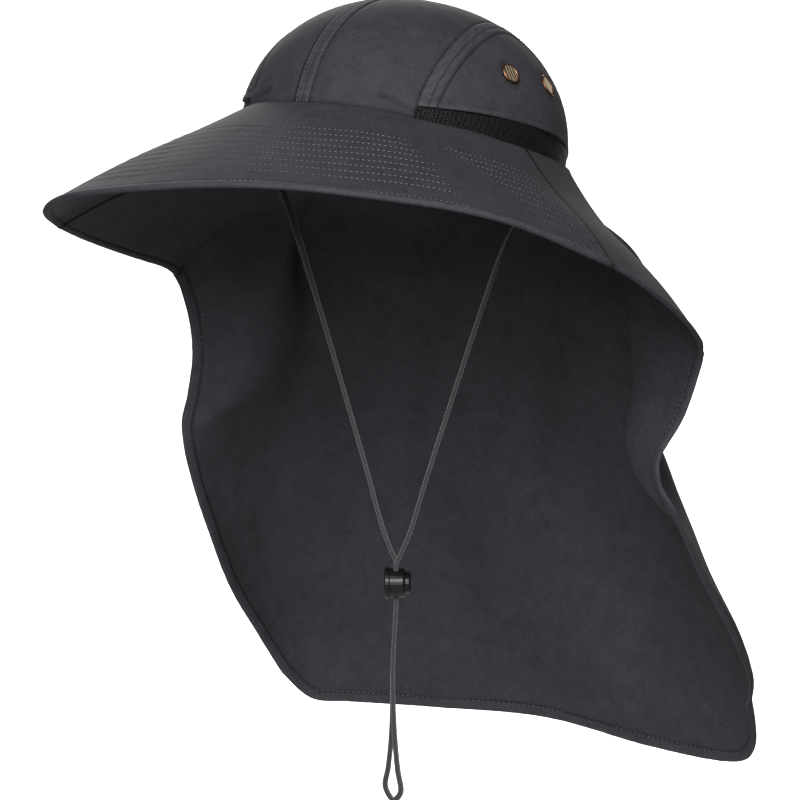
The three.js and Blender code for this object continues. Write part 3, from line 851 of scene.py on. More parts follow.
class BUSHHAT_OT_camera(bpy.types.Operator):
    """Place the camera at the picture's viewing angle"""

    bl_idname = "bush_hat.camera"
    bl_label = "Camera"

    def execute(self, context):
        azimuth, elevation = math.radians(CAMERA_AZIMUTH), math.radians(CAMERA_ELEVATION)
        level = Vector((math.sin(azimuth), -math.cos(azimuth), 0)) * math.cos(elevation)
        back = level + Vector((0, 0, math.sin(elevation)))
        right = Vector((math.cos(azimuth), math.sin(azimuth), 0))
        up = back.cross(right)
        camera = bpy.data.cameras.new("camera")
        camera.sensor_width = CAMERA_SENSOR
        camera.lens = PIXELS_PER_METRE * CAMERA_DISTANCE * CAMERA_SENSOR / PICTURE_PIXELS
        camera.clip_end = 60
        thing = new_object("camera", camera)
        place = right * CAMERA_AIM[0] + up * CAMERA_AIM[1] + back * CAMERA_DISTANCE
        turn = Matrix((right, up, back)).transposed().to_4x4()
        thing.matrix_world = Matrix.Translation(place) @ turn
        context.scene.camera = thing
        return {"FINISHED"}


def cord_route():
    """The cord's centre line: down the left strand, through the lock, round the loop and up again."""
    turns = (math.radians(LOCK_TURN), math.radians(LOCK_TURN + LOOP_TURN))
    across, loop_across = (np.array([math.sin(turn), -math.cos(turn), 0]) for turn in turns)
    gap = (CORD_WIDTH + CLEARANCE) / 2
    half = LOCK_DIAMETER / 2

    def strand(side):
        top = worn(opening(side * CORD_BASE_ANGLE, -CROWN_WALL / 2) - [0, 0, CROWN_SKIRT])[0]
        top[2] -= CLEARANCE + CORD_WIDTH / 2 + (CORD_PLANE - top[1]) * math.tan(math.radians(WORN_PITCH))
        top[1] = CORD_PLANE
        spots = [np.array([side * out, CORD_PLANE, z]) for out, z in STRAND_ROUTE]
        return [top, top + (spots[0] - top) * 0.4 + [side, 0, 0], *spots]

    def hang(way, sign, offset, z, drift=0.0):
        return np.array([drift, CORD_PLANE, z]) + way * sign * offset

    def passes(sign):
        return [
            hang(across, sign, gap, LOCK_HEIGHT + half + 2.5),
            hang(across, sign, gap, LOCK_HEIGHT + half / 2),
            hang(across, sign, gap, LOCK_HEIGHT - half / 2),
            hang(across, sign, gap, LOCK_HEIGHT - half - 2),
            hang(across, sign, gap, TAIL_BEND, TAIL_DRIFT),
            hang(loop_across, sign, gap, LOOP_NECK, TAIL_DRIFT),
            hang(loop_across, sign, LOOP_RADIUS * 0.62, LOOP_SHOULDER, TAIL_DRIFT),
            hang(loop_across, sign, LOOP_RADIUS, LOOP_RADIUS + CORD_WIDTH / 2 - LOOP_DROP, TAIL_DRIFT),
        ]

    bottom = hang(loop_across, 1, 0, CORD_WIDTH / 2 - LOOP_DROP, TAIL_DRIFT)
    points = [*strand(1), *passes(1), bottom, *passes(-1)[::-1], *strand(-1)[::-1]]
    return np.array(points)


def centripetal(points, per_span):
    """Smooth line through points, with knots spaced by the root of their distance."""
    points = np.asarray(points, float)
    ends = [2 * points[0] - points[1], *points, 2 * points[-1] - points[-2]]
    line = []
    for k in range(len(points) - 1):
        p = ends[k : k + 4]
        t = np.cumsum([0, *[max(np.linalg.norm(p[j + 1] - p[j]), 1e-6) ** 0.5 for j in range(3)]])
        for s in np.linspace(t[1], t[2], per_span, endpoint=False):
            a = [((t[j + 1] - s) * p[j] + (s - t[j]) * p[j + 1]) / (t[j + 1] - t[j]) for j in range(3)]
            b = [((t[j + 2] - s) * a[j] + (s - t[j]) * a[j + 1]) / (t[j + 2] - t[j]) for j in range(2)]
            line.append(((t[2] - s) * b[0] + (s - t[1]) * b[1]) / (t[2] - t[1]))
    line.append(points[-1])
    return np.array(line)


class BUSHHAT_OT_cord(bpy.types.Operator):
    """Make the flat braided chin cord"""

    bl_idname = "bush_hat.cord"
    bl_label = "Chin cord"

    def execute(self, context):
        fine, along = polyline(centripetal(cord_route(), 24))
        total = along[-1]
        spots = np.linspace(0, total, CORD_RINGS + 1)
        line = at_place(fine, along, spots)
        way = unit(np.gradient(line, axis=0))
        side = unit(np.cross(way, CORD_FACING))
        front = np.cross(side, way)
        twist = 2.6 * groove(spots, 62) - 0.6 * groove(total - spots, 62)
        wide = side * np.cos(twist)[:, None] + front * np.sin(twist)[:, None]
        deep = front * np.cos(twist)[:, None] - side * np.sin(twist)[:, None]
        half_width = CORD_WIDTH / 2 + 0.1 + 1.5 * groove(spots, 46) + 1.1 * groove(total - spots, 70)
        half_width += 0.4 * groove(spots - total / 2, 45)

        def rounded(value):
            return np.sign(value) * np.abs(value) ** 0.8

        bm = bmesh.new()
        bmesh.ops.create_grid(bm, x_segments=16, y_segments=CORD_RINGS, size=0.5)
        u = np.array([v.co.x + 0.5 for v in bm.verts])
        v = np.array([v.co.y + 0.5 for v in bm.verts])
        ring = np.rint(v * CORD_RINGS).astype(int)
        x = rounded(np.cos(2 * math.pi * u)) * half_width[ring]
        y = rounded(np.sin(2 * math.pi * u)) * CORD_THICKNESS / 2
        skin = line[ring] + wide[ring] * x[:, None] + deep[ring] * y[:, None]
        for vert, spot in zip(bm.verts, skin * 0.001):
            vert.co = spot
        uv = bm.loops.layers.uv.new("UVMap")
        for loop in (loop for face in bm.faces for loop in face.loops):
            loop[uv].uv = (v[loop.vert.index] * total * 0.001, u[loop.vert.index])
        bmesh.ops.remove_doubles(bm, verts=bm.verts, dist=1e-6)
        bmesh.ops.holes_fill(bm, edges=[edge for edge in bm.edges if edge.is_boundary], sides=0)
        bmesh.ops.recalc_face_normals(bm, faces=bm.faces)
        cord = object_from(bm, "chin_cord_braid")
        finish = material_of("cord_braid", braided, linear(96, 96, 100))
        finish_piece(cord, finish, "cord_braid", "chin_cord")
        round(total * 0.001, 3)
        return {"FINISHED"}


def from_heart(spot):
    """Outward direction of the crown at a spot in metres."""
    return spot - Vector((0, 0.01, 0))


def crown_row(points, lift, length, gap):
    """Stitches along a line on the crown, lifted off its cloth."""
    outward = unit(points - [0, ARCH_CENTRE, 0])
    return stitch_row(worn(points + outward * lift), worn(outward), length, gap)


class BUSHHAT_OT_crown(bpy.types.Operator):
    """Make the crown with its front seam and the arched side panels and vents"""

    bl_idname = "bush_hat.crown"
    bl_label = "Crown"

    def crown_half(self, side):
        """From the arch of one side to the middle of the front seam."""
        near_seam = (0, 1.6, 3.0, 3.7, 4.2, 4.6, 5.0, 5.6, 7.0, 10)
        spots = stops(CROWN_SPAN, (0, 0.5, 1.0, 1.6, 2.4, 3.4), near_seam, 26)

        def shape(u, v):
            turn = math.pi * u
            y, z = arch(turn)
            foot = (u < 1e-6) | (u > 1 - 1e-6)
            start = crown_side(y, np.where(foot, -CROWN_SKIRT, np.maximum(z, -CROWN_SKIRT)), side)
            middle = [np.full(y.size, SEAM_MIDDLE)]
            middle += [np.cos(turn) * HEAD_LENGTH / 2, np.sin(turn) * CROWN_HEIGHT]
            end = on_crown(np.stack(middle, axis=1))
            end[:, 0] = SEAM_MIDDLE
            between = on_crown(start + (end - start) * (v / CROWN_SPAN)[:, None])
            between[:, 2] = np.where(foot, between[:, 2] - CROWN_SKIRT, between[:, 2])
            return between

        points = grid_points(shape, np.linspace(0, 1, 151), np.array(spots))
        edge = Line(worn(points[:, 0]))
        pinch = Line(worn(on_crown(np.array(PINCH) * [side, 1, 1])))

        def dress(spots):
            flat = unworn(spots)
            pinched, _ = pinch.measure(spots)
            off = np.abs(flat[:, 0] - SEAM_MIDDLE)
            from_arch, _ = edge.measure(spots)
            height = 0.4 * (1 - step_between(SEAM_HALF - 0.2, SEAM_HALF + 0.8, off))
            height = height - 0.8 * groove(off - SEAM_HALF, 0.6) - 0.8 * groove(from_arch, 0.9)
            ripple = np.sin(flat[:, 1] * 1.7 + flat[:, 2] * 1.2 + np.sin(flat[:, 1] * 0.4) * 2)
            height = height + 0.12 * ripple * groove(off, 4.2)
            gather = np.sin((flat[:, 1] + 84) * 0.36 + flat[:, 2] * 0.12 + 0.6)
            near = groove(flat[:, 1] + 76, 15) * groove(flat[:, 2] - 6, 12)
            near = near * np.clip(side * flat[:, 0] / 40, 0, 1)
            height = height + 1.0 * gather * near
            height = height - 0.7 * groove(pinched, 1.3) + 0.5 * groove(pinched - 3.2, 1.8)
            # Painted shade in the grooves at the seam band's edges, along the arch, in the pinch crease, in
            # the gather's hollows and at the foot where the crown meets the brim; painted highlight on the
            # raised seam band with its ripples and on the gather's ridges.
            shade = -0.72 * groove(off - SEAM_HALF, 0.75) - 0.6 * groove(from_arch, 1.0)
            shade = shade + (0.1 + 0.2 * ripple) * (1 - step_between(3.4, 4.4, off))
            shade = shade + 0.2 * gather * near - 0.4 * groove(pinched, 1.3)
            shade = shade - 0.6 * groove(flat[:, 2] - opening_height(flat), 1.8)
            return height, shade, CROWN_WALL

        hand = "left" if side > 0 else "right"
        half = cloth_sheet(f"crown_cloth_{hand}", [worn_grid(points)], from_heart, dress)
        finish_piece(half, shell_cloth(), "shell_cloth", *(["crown"] if side > 0 else []))

    def side_panel(self, side):
        hand = "left" if side > 0 else "right"
        turns = np.linspace(0, math.pi, 4001)
        y, z = arch(turns)
        above = np.flatnonzero(z >= vent_line(y) + 0.3)
        first, last = turns[above[0]], turns[above[-1]]

        def shape(u, v):
            y, z = arch(first + (last - first) * u)
            return crown_side(y, z + (vent_line(y) - 0.1 - z) * v, side)

        # Rows close together over the seam band and at the lower hem
        rows = np.concatenate([np.linspace(0, 0.62, 46) ** 1.15, np.linspace(0.6, 1, 16)[1:]])
        points = grid_points(shape, np.linspace(0, 1, 181), rows)
        arch_line = Line(worn(points[:, 0]))
        low_line = Line(worn(points[:, -1]))

        def dress(spots):
            flat = unworn(spots)
            away, _ = arch_line.measure(spots)
            low, _ = low_line.measure(spots)
            height = 0.45 * (1 - step_between(10.0, 11.2, away))
            height = height - 0.7 * groove(away, 0.8) - 0.7 * groove(away - ARCH_BAND, 0.7)
            height = height - 0.5 * groove(away - ARCH_CREASE, 0.6)
            height = height + 0.3 * (1 - step_between(2.6, 3.6, low)) - 0.3 * groove(low - 3.2, 0.5)
            height = height + 0.5 * np.sin(flat[:, 1] * 0.09 + flat[:, 2] * 0.05) * np.clip(away / 20, 0, 1)
            ripple = np.sin(flat[:, 1] * 1.3 - flat[:, 2] * 1.5)
            # Painted shade in the grooves along the arch and at the band's inner edge, in the crease and at
            # the hem's stitch line; painted highlight on the raised band with its ripples and along the lower
            # hem's edge, and a little painted light over the whole panel.
            shade = -0.6 * groove(away, 0.9) - 0.62 * groove(away - ARCH_BAND, 0.9)
            shade = shade - 0.5 * groove(away - ARCH_CREASE, 0.7)
            shade = shade + (0.14 + 0.12 * ripple) * (1 - step_between(9, ARCH_BAND, away))
            shade = shade + 0.35 * groove(low - 0.6, 1.0) - 0.15 * groove(low - 3.2, 0.6) + 0.14
            # Each eyelet sits in a shallow dip, with painted shade round its rim.
            for y, z in EYELETS.values():
                reach = np.hypot(flat[:, 1] - y, flat[:, 2] - z)
                height = height - 0.3 * groove(reach, 9.0)
                shade = shade - 0.35 * groove(reach - EYELET_DIAMETER / 2, 1.2)
            return height, shade, CROWN_WALL

        panel = cloth_sheet(f"side_panel_cloth_{hand}", [worn_grid(points)], from_heart, dress)
        finish_piece(panel, shell_cloth(), "shell_cloth", f"side_panel_{hand}")

        def vent(u, v):
            y, z = arch(0.005 + (math.pi - 0.01) * u)
            high = np.minimum(vent_line(y), z) + 0.2
            return crown_side(y, -CROWN_SKIRT + (high + CROWN_SKIRT) * (1 - v), side)

        def plain(spots):
            return -0.45, 0.0, 1.0

        points = grid_points(vent, np.linspace(0, 1, 121), np.linspace(0, 1, 13))
        mesh_piece = cloth_sheet(f"mesh_vent_knit_{hand}", [worn_grid(points)], from_heart, plain)
        knit = material_of("mesh_knit", mesh_knit, linear(12, 12, 13))
        finish_piece(mesh_piece, knit, "mesh_knit", f"mesh_vent_{hand}")

    def seam_stitches(self):
        length, gap = sewing()
        rows = []
        rise = np.linspace(0.03, math.pi - 0.03, 240)
        for x in (SEAM_MIDDLE - SEAM_STITCH, SEAM_MIDDLE + SEAM_STITCH):
            line = [np.full(240, x), -np.cos(rise) * HEAD_LENGTH / 2, np.sin(rise) * CROWN_HEIGHT]
            rows.append(crown_row(on_crown(np.stack(line, axis=1)), 1.2, length, gap))
        for side in (1, -1):
            y, z = arch(np.linspace(0.25, math.pi - 0.2, 400))
            lean = np.maximum(np.abs(crown_side(y, z, side)[:, 0]) / (HEAD_WIDTH / 2), 0.45)
            inward = unit(np.stack([ARCH_CENTRE - y, -z * 1.4], axis=1)) * (ARCH_STITCH * lean)[:, None]
            y, z = y + inward[:, 0], z + inward[:, 1]
            keep = z > vent_line(y) + 2
            rows.append(crown_row(crown_side(y[keep], z[keep], side), 1.25, length, gap))
            y = np.linspace(-76, 80, 200)
            rows.append(crown_row(crown_side(y, vent_line(y) + VENT_STITCH, side), 1.1, length, gap))
        stitches("crown_stitches", rows, length, 0.42, "shell_cloth", lambda spot: -0.35)

    def execute(self, context):
        for side in (1, -1):
            self.crown_half(side)
            self.side_panel(side)
        self.seam_stitches()
        return {"FINISHED"}


class BUSHHAT_OT_eyelets(bpy.types.Operator):
    """Make the four vent eyelets and the gauze behind them"""

    bl_idname = "bush_hat.eyelets"
    bl_label = "Eyelets"

    def execute(self, context):
        copper = material_of("eyelet_metal", plated, linear(168, 122, 92))
        # The front eyelets' gauze is a shaded copy of the pale gauze, darkened with painted shade.
        shaded = material_of("gauze_shaded", gauze, linear(158, 142, 118), linear(66, 48, 40))
        pale = material_of("gauze_pale", gauze, linear(226, 217, 192), linear(196, 182, 152))
        for side, hand in ((1, "left"), (-1, "right")):
            for end, (y, z) in EYELETS.items():
                where = self.seat(side, y, z)
                ring = self.ring(f"eyelet_ring_{hand}_{end}", where)
                finish_piece(ring, copper, "eyelet_metal", f"eyelet_{hand}_{end}")
                disc = self.disc(f"eyelet_gauze_{hand}_{end}", where)
                finish_piece(disc, shaded if end == "front" else pale, "shell_cloth")
        return {"FINISHED"}

    def seat(self, side, y, z):
        """Where an eyelet sits on the crown, with its own z axis outwards."""
        step = 0.5
        spot, ahead, above = crown_side(np.array([y, y + step, y]), np.array([z, z, z + step]), side)
        outward = np.cross(ahead - spot, above - spot)
        outward *= np.sign(outward[0]) * side
        turn = Vector((0, 0, 1)).rotation_difference(Vector(worn(outward)[0]).normalized())
        return Matrix.Translation(Vector(worn(spot)[0]) * 0.001) @ turn.to_matrix().to_4x4()

    def ring(self, name, where):
        """The rolled flange and barrel, spun from their section: radius and height."""
        hole, flange = EYELET_HOLE / 2, EYELET_DIAMETER / 2
        section = [
            (hole, -1.9), (hole + 0.4, -1.9), (hole + 0.4, 0.9), (flange - 0.2, 0.9), (flange, 1.15),
            (flange - 0.2, 1.5), (flange - 0.6, 1.75), (hole + 0.2, 1.7), (hole, 1.4),
        ]
        bm = bmesh.new()
        verts = [bm.verts.new((r * 0.001, 0, h * 0.001)) for r, h in section]
        edges = [bm.edges.new((verts[k - 1], verts[k])) for k in range(len(verts))]
        full = {"cent": (0, 0, 0), "axis": (0, 0, 1), "angle": 2 * math.pi, "steps": 40, "use_merge": True}
        bmesh.ops.spin(bm, geom=verts + edges, **full)
        bmesh.ops.remove_doubles(bm, verts=bm.verts, dist=1e-7)
        bmesh.ops.recalc_face_normals(bm, faces=bm.faces)
        bmesh.ops.transform(bm, matrix=where, verts=bm.verts)
        return object_from(bm, name)

    def disc(self, name, where):
        """The gauze that fills the ring."""
        bm = bmesh.new()
        bmesh.ops.create_circle(bm, cap_ends=True, segments=40, radius=(EYELET_HOLE / 2 + 0.3) * 0.001)
        pushed = bmesh.ops.extrude_face_region(bm, geom=bm.faces[:])["geom"]
        raised = [part for part in pushed if isinstance(part, bmesh.types.BMVert)]
        bmesh.ops.translate(bm, vec=(0, 0, 0.0013), verts=raised)
        bmesh.ops.recalc_face_normals(bm, faces=bm.faces)
        bmesh.ops.transform(bm, matrix=where, verts=bm.verts)
        return object_from(bm, name, smooth=False)


def rim_dress(distance, along, stitch, body, fold):
    """A rolled edge from its distance: height, painted shade and highlight, and wall, with the dent of its
    stitch line.
    """
    dent = groove(distance - stitch, 0.75)
    roll = 1 - step_between(stitch - 0.9, stitch + 0.1, distance)
    height = 0.1 * np.sin(along * 1.4) * groove(distance - stitch, 3.0)
    # Painted highlight on the rolled edge and its crest, painted shade in the stitch line's dent.
    shade = 0.16 * roll + 0.18 * groove(distance - 1.4, 1.5) - 0.5 * dent
    wall = body + fold * roll - 0.8 * dent - (body + fold) * 0.75 * (1 - np.clip(distance / 1.5, 0, 1)) ** 2
    return height, shade, np.maximum(wall, 0.35)


EDGE_STOPS = (0, 0.4, 0.9, 1.5, 2.4, 3.4, 4.1, 4.6, 5.1, 5.7, 6.3, 6.9, 8.0, 9.5)
SLOPE_WIDTH = 116.0


def slope_stops(count):
    return np.array(stops(SLOPE_WIDTH, (0, 1.0, 2.0, 3.5), EDGE_STOPS, count)) / SLOPE_WIDTH


class BUSHHAT_OT_brim(bpy.types.Operator):
    """Make the quilted brim with its rounded rim"""

    bl_idname = "bush_hat.brim"
    bl_label = "Brim"

    def execute(self, context):
        spacing = context.scene.bush_hat.quilt_spacing * 1000
        length, gap = sewing()
        base_edge = SEAM_BASE_ANGLE - math.degrees(CLEARANCE / HEAD_WIDTH)
        rim_edge = SEAM_RIM_ANGLE - math.degrees(CLEARANCE / (HEAD_WIDTH + BRIM_WIDTH))

        def at(way, share):
            return brim_point(base_edge * way, rim_edge * way, share)

        def soft(along, distance):
            """Slow waves of the cloth."""
            return 0.8 * np.sin(along * 0.045 + 1.0) * np.sin(distance * 0.043 + along * 0.021)

        # Columns lie closer together towards the side seams
        spread = 0.4 * math.pi
        ways = np.sin(np.linspace(-spread, spread, 261)) / math.sin(spread)
        points = grid_points(at, ways, slope_stops(96))
        rim_line = Line(worn(points[:, -1]), np.linspace(0, 400, points.shape[0]))
        base_line = Line(worn(points[:, 0]))
        sides = Line(worn(points[0])), Line(worn(points[-1]))
        quilt_rows = [QUILT_START + spacing * k for k in range(QUILT_ROWS)]

        def dress(spots):
            distance, index = rim_line.measure(spots)
            along = rim_line.labels[index]
            base, _ = base_line.measure(spots)
            seam = np.minimum(sides[0].measure(spots)[0], sides[1].measure(spots)[0])
            height, shade, wall = rim_dress(distance, along, RIM_STITCH, BRIM_WALL, 0.9)
            for row in quilt_rows:
                height = height - 0.13 * groove(distance - row, 1.0)
                height = height + 0.07 * np.sin(along * 1.05 + row * 7.7) * groove(distance - row, 3.0)
                # Painted shade in each quilting groove.
                shade = shade - 0.08 * groove(distance - row, 1.0)
            height = height - 0.9 * groove(seam, 1.3) - 0.8 * groove(base, 1.5)
            # Painted shade in the side seams' grooves and at the foot where the brim meets the crown; painted
            # highlight on the ridge beside each side seam.
            shade = shade - 0.97 * groove(seam, 1.9) - 0.85 * groove(base, 1.6) + 0.1 * groove(seam - 3, 1.2)
            return height + soft(along, distance), shade, wall

        brim = cloth_sheet("brim_cloth", [worn_grid(points)], lambda p: Vector((0, -0.3, 1)), dress)
        finish_piece(brim, shell_cloth(), "quilted_cloth", "brim")

        def sewn(row, sink, start):
            """One row of stitches, this far from the rim and this deep in the cloth."""
            way = np.linspace(-0.985, 0.985, 420)
            share = np.full(420, 1 - row / SLOPE_WIDTH)
            ahead = at(way + 1e-3, share) - at(way - 1e-3, share)
            across = at(way, share + 1e-3) - at(way, share - 1e-3)
            normal = np.cross(across, ahead)
            normal = unit(normal * np.sign(normal[:, 2])[:, None])
            lift = (BRIM_WALL / 2 - sink + soft((way + 1) * 200, row))[:, None]
            path = worn(at(way, share) + normal * lift)
            return stitch_row(path, worn(normal), length, gap, start=start * length)

        # Painted highlight: the quilting stitches keep their thread's colour round 28 degrees from the front,
        # and painted shade darkens them elsewhere.
        def sewn_shade(spot):
            flat = unworn(spot)
            turn = math.degrees(math.atan2(flat[0], -flat[1]))
            return -0.55 + 0.55 * float(groove(turn - 28, 24))

        quilting = [sewn(row, 0.02, 0.37 * index % 1) for index, row in enumerate(quilt_rows)]
        stitches("brim_quilting", quilting, length, 0.5, "quilted_cloth", sewn_shade)
        edge = [sewn(RIM_STITCH + 0.4, 0.25, 0.37 * QUILT_ROWS % 1)]
        stitches("rim_stitches", edge, length, 0.42, "quilted_cloth", lambda spot: -0.3)
        return {"FINISHED"}


class BUSHHAT_OT_flap(bpy.types.Operator):
    """Make the neck flap with its hems and folds"""

    bl_idname = "bush_hat.flap"
    bl_label = "Neck flap"

    side_columns = 96
    wing_columns = 34
    tuck = 1.2

    def wing(self, side, ways, shares):
        """The flap's front part beside the brim, from the side seam back to the corner."""
        base_start = SEAM_BASE_ANGLE - math.degrees(self.tuck / HEAD_WIDTH * 2)
        rim_start = SEAM_RIM_ANGLE - math.degrees(self.tuck / (HEAD_WIDTH / 2 + BRIM_WIDTH))
        way = 1 - (1 - ways) ** 1.35

        def at(way, share):
            base = base_start + (CORNER_ANGLE - base_start) * way
            edge = rim_start + (CORNER_ANGLE - rim_start) * way
            return worn(brim_point(side * base, side * edge, share))

        return grid_points(at, way, shares)

    def places(self, side, ways):
        """Places of the columns at each way down, close together along the front hem."""
        probe = flap_point(side, np.zeros(ways.size), ways)
        ahead = flap_point(side, np.full(ways.size, 0.01), ways)
        speed = np.maximum(np.linalg.norm(ahead - probe, axis=1) / 0.01, 60.0)
        columns = [np.minimum(stop / speed, 0.2) for stop in EDGE_STOPS]
        rest = self.side_columns - len(columns)
        columns += [columns[-1] + (1 - columns[-1]) * k / rest for k in range(1, rest + 1)]
        return np.stack(columns)

    def hanging(self, side, ways):
        """The part that hangs, from the brow to the hem."""
        place = self.places(side, ways)
        way = np.broadcast_to(ways, place.shape)
        return flap_point(side, place.ravel(), way.ravel()).reshape(*place.shape, 3)

    def execute(self, context):
        length, gap = sewing()
        shares = slope_stops(34)
        fall = 0.68 * FLAP_DROP
        top = [0, 1.0, 2.2, 3.6, 5.2, 7.0, 9.0, 11.5, 14.5]
        ways = np.array(stops(fall, top, EDGE_STOPS, 80)) / fall
        slopes, falls = [], []
        for side in (1, -1):
            place = self.places(side, np.zeros(1))[:, 0]
            curtain = grid_points(lambda u, v: flap_point(side, u, v - 1), place, shares)
            near_seam = [0, 0.004, 0.008, 0.012, 0.017, 0.025, 0.04]
            far = np.linspace(0.065, 1, self.wing_columns + 1 - len(near_seam))
            wing = self.wing(side, np.concatenate([near_seam, far]), shares)
            slopes.append(np.concatenate([wing[:-1], curtain]))
            falls.append(self.hanging(side, ways))
        slope = np.concatenate([slopes[0], slopes[1][::-1][1:]])
        curtain = np.concatenate([falls[0], falls[1][::-1][1:]])
        slope, curtain = self.rounded(slope, curtain)

        wings = self.wing_columns
        hem_path = np.concatenate([curtain[0], curtain[1:, -1], curtain[-1, ::-1][1:]])
        rims = [slope[: wings + 1, -1], slope[::-1][: wings + 1, -1]]
        path = np.concatenate([rims[0], hem_path[1:], rims[1][::-1][1:]])
        marks = np.repeat([RIM_STITCH, HEM_STITCH, RIM_STITCH], [wings + 1, len(hem_path) - 2, wings + 1])
        edge = Line(path, marks)
        seams = [Line(slope[0]), Line(slope[-1])]
        base = Line(slope[:, 0])
        brow_left = Line(falls[0][12:, 0])
        brow_right = Line(falls[1][12:, 0])

        def dress(spots):
            distance, index = edge.measure(spots)
            stitch = edge.labels[index]
            height, shade, wall = rim_dress(distance, index * 0.5, stitch, FLAP_WALL, 1.0)
            seam = np.minimum(seams[0].measure(spots)[0], seams[1].measure(spots)[0])
            from_base, _ = base.measure(spots)
            brow = np.minimum(brow_left.measure(spots)[0], brow_right.measure(spots)[0])
            # Painted shade along the side seams and at the foot where the flap meets the crown.
            shade = shade - 0.97 * groove(seam - self.tuck, 1.8) - 0.6 * groove(from_base, 1.6)
            hanging = np.clip((-30 - spots[:, 2]) / 90, 0, 1) * np.clip((spots[:, 1] + 40) / 60, 0, 1)
            fade = np.clip(distance / 45, 0, 1) * hanging * np.clip(brow / 25, 0, 1)
            fade = fade * np.clip((120 - np.abs(spots[:, 0])) / 60, 0, 1)
            folds = 3.0 * np.sin(spots[:, 0] * 0.045 + spots[:, 2] * 0.028 + 0.6)
            folds = folds + 1.5 * np.sin(spots[:, 0] * 0.083 - spots[:, 2] * 0.036 + 2.1)
            drape = 1.7 * np.sin(spots[:, 0] * 0.15 - spots[:, 2] * 0.03 + 1.0)
            folds = folds + drape * groove(spots[:, 0] + 60, 60) * groove(spots[:, 2] + 190, 90)
            return height + folds * fade, shade, wall

        flap = cloth_sheet("neck_flap_cloth", [slope, curtain], lambda p: p - Vector((0, 0.02, -0.2)), dress)
        finish_piece(flap, shell_cloth(), "shell_cloth", "neck_flap")
        middle = self.side_columns - 1
        down = float(polyline(slope[wings + middle])[1][-1] + polyline(curtain[middle])[1][-1]) * 0.001

        # Topstitching beside the hems, on both faces
        made = []
        keep = slice(6, len(ways) - 6)
        for line, inner in (
            (curtain[9, keep], curtain[12, keep]),
            (curtain[-10, keep], curtain[-13, keep]),
            (curtain[12:-12, -10], curtain[12:-12, -13]),
        ):
            normal = unit(np.cross(np.gradient(line, axis=0), inner - line))
            for sign in (1, -1):
                made.append(stitch_row(line + normal * sign * 0.62, normal * sign, length * 1.3, gap))
        stitches("hem_stitches", made, length * 1.3, 0.45, "shell_cloth", lambda spot: -0.35)
        return {"FINISHED"}

    def rounded(self, slope, curtain):
        """The sheet with the corners of its brow and of its bottom hem rounded off."""
        wings = self.wing_columns
        corners = (
            (slope[wings, -1], slope[wings - 8, -1], curtain[0, 12], 13.0, 3.2),
            (slope[-1 - wings, -1], slope[-1 - wings + 8, -1], curtain[-1, 12], 13.0, 3.2),
            (curtain[0, -1], curtain[0, -22], curtain[22, -1], 44.0, 11.0),
            (curtain[-1, -1], curtain[-1, -22], curtain[-23, -1], 34.0, 7.0),
        )
        out = []
        for grid in (slope, curtain):
            grid = grid.copy()
            for corner, before, after, radius, depth in corners:
                way = unit((before + after) / 2 - corner)
                reach = np.linalg.norm(grid - corner, axis=2)
                grid += way * (depth * np.clip(1 - reach / radius, 0, 1) ** 2)[:, :, None]
            out.append(grid)
        return out


class BUSHHAT_OT_lock(bpy.types.Operator):
    """Give the cord lock its glossy finish"""

    bl_idname = "bush_hat.lock"
    bl_label = "Cord lock"

    def execute(self, context):
        plastic = material_of("lock_plastic", glossy, linear(19, 16, 18))
        for name in LOCK_NODES:
            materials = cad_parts[name].data.materials
            materials.clear()
            materials.append(plastic)
        return {"FINISHED"}


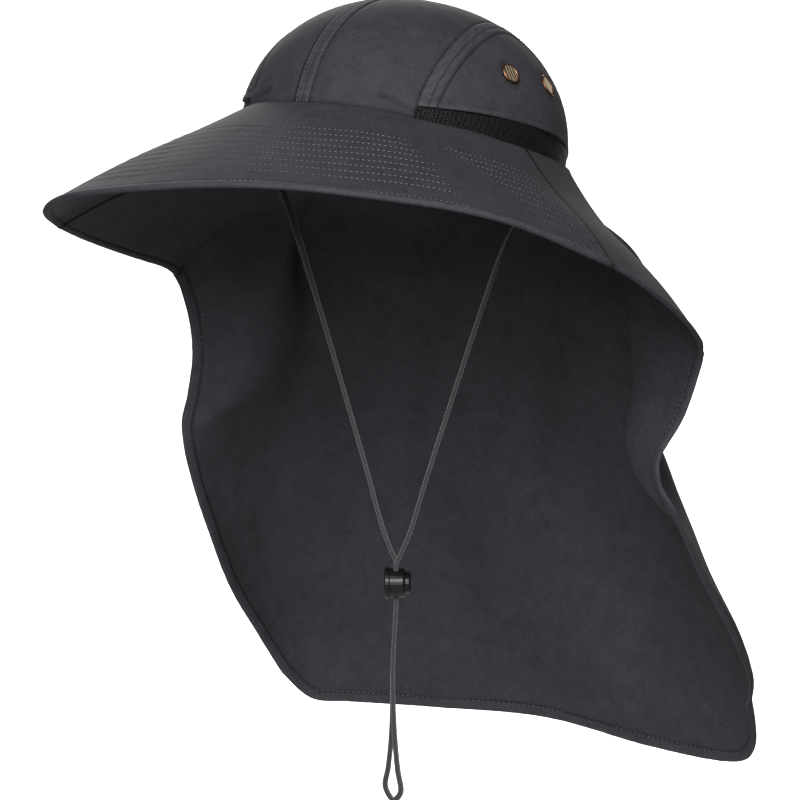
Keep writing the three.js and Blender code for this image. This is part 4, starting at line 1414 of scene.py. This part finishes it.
class BUSHHAT_OT_stage(bpy.types.Operator):
    """Make the pale floor and the soft studio light"""

    bl_idname = "bush_hat.stage"
    bl_label = "Stage"

    def execute(self, context):
        bm = bmesh.new()
        bmesh.ops.create_grid(bm, x_segments=1, y_segments=1, size=FLOOR_REACH)
        bmesh.ops.translate(bm, vec=(0, 0, FLOOR_HEIGHT), verts=bm.verts)
        floor = object_from(bm, "floor", smooth=False)
        floor.data.materials.append(studio_paper("floor_paper", (0.95, 0.95, 0.95, 1.0)))
        scene = context.scene
        scene.world = bpy.data.worlds.new("studio")
        scene.world.use_nodes = True
        sky = scene.world.node_tree.nodes["Background"].inputs
        sky["Color"].default_value = (1, 1, 1, 1)
        sky["Strength"].default_value = 0.025
        for name, place, aim, size, share, spread in LAMPS:
            light = bpy.data.lights.new(name, "AREA")
            light.shape = "SQUARE"
            light.size = size
            light.energy = scene.bush_hat.lamp_power * share
            light.spread = math.radians(spread)
            lamp = bpy.data.objects.new(name, light)
            lamp.location = place
            lamp.rotation_euler = (Vector(aim) - Vector(place)).to_track_quat("-Z", "Y").to_euler()
            scene.collection.objects.link(lamp)
        scene.view_settings.view_transform = "Standard"
        scene.view_settings.look = "None"
        return {"FINISHED"}


class BUSHHAT_PT_panel(bpy.types.Panel):
    """Lists the hat's settings and steps"""

    bl_idname = "BUSHHAT_PT_panel"
    bl_label = "Bush Hat"
    bl_space_type = "VIEW_3D"
    bl_region_type = "UI"
    bl_category = "Bush Hat"

    def draw(self, context):
        for name in BushHatSettings.__annotations__:
            self.layout.prop(context.scene.bush_hat, name)
        for operator in OPERATORS:
            self.layout.operator(operator.bl_idname)


OPERATORS = (
    BUSHHAT_OT_camera,
    BUSHHAT_OT_cord,
    BUSHHAT_OT_crown,
    BUSHHAT_OT_eyelets,
    BUSHHAT_OT_brim,
    BUSHHAT_OT_flap,
    BUSHHAT_OT_lock,
    BUSHHAT_OT_stage,
)
CLASSES = (BushHatSettings, *OPERATORS, BUSHHAT_PT_panel)


def register():
    for cls in CLASSES:
        bpy.utils.register_class(cls)
    bpy.types.Scene.bush_hat = bpy.props.PointerProperty(type=BushHatSettings)


def unregister():
    del bpy.types.Scene.bush_hat
    for cls in reversed(CLASSES):
        bpy.utils.unregister_class(cls)


def main():
    register()
    for operator in OPERATORS:
        group, name = operator.bl_idname.split(".")
        getattr(getattr(bpy.ops, group), name)()


if __name__ == "__main__":
    main()
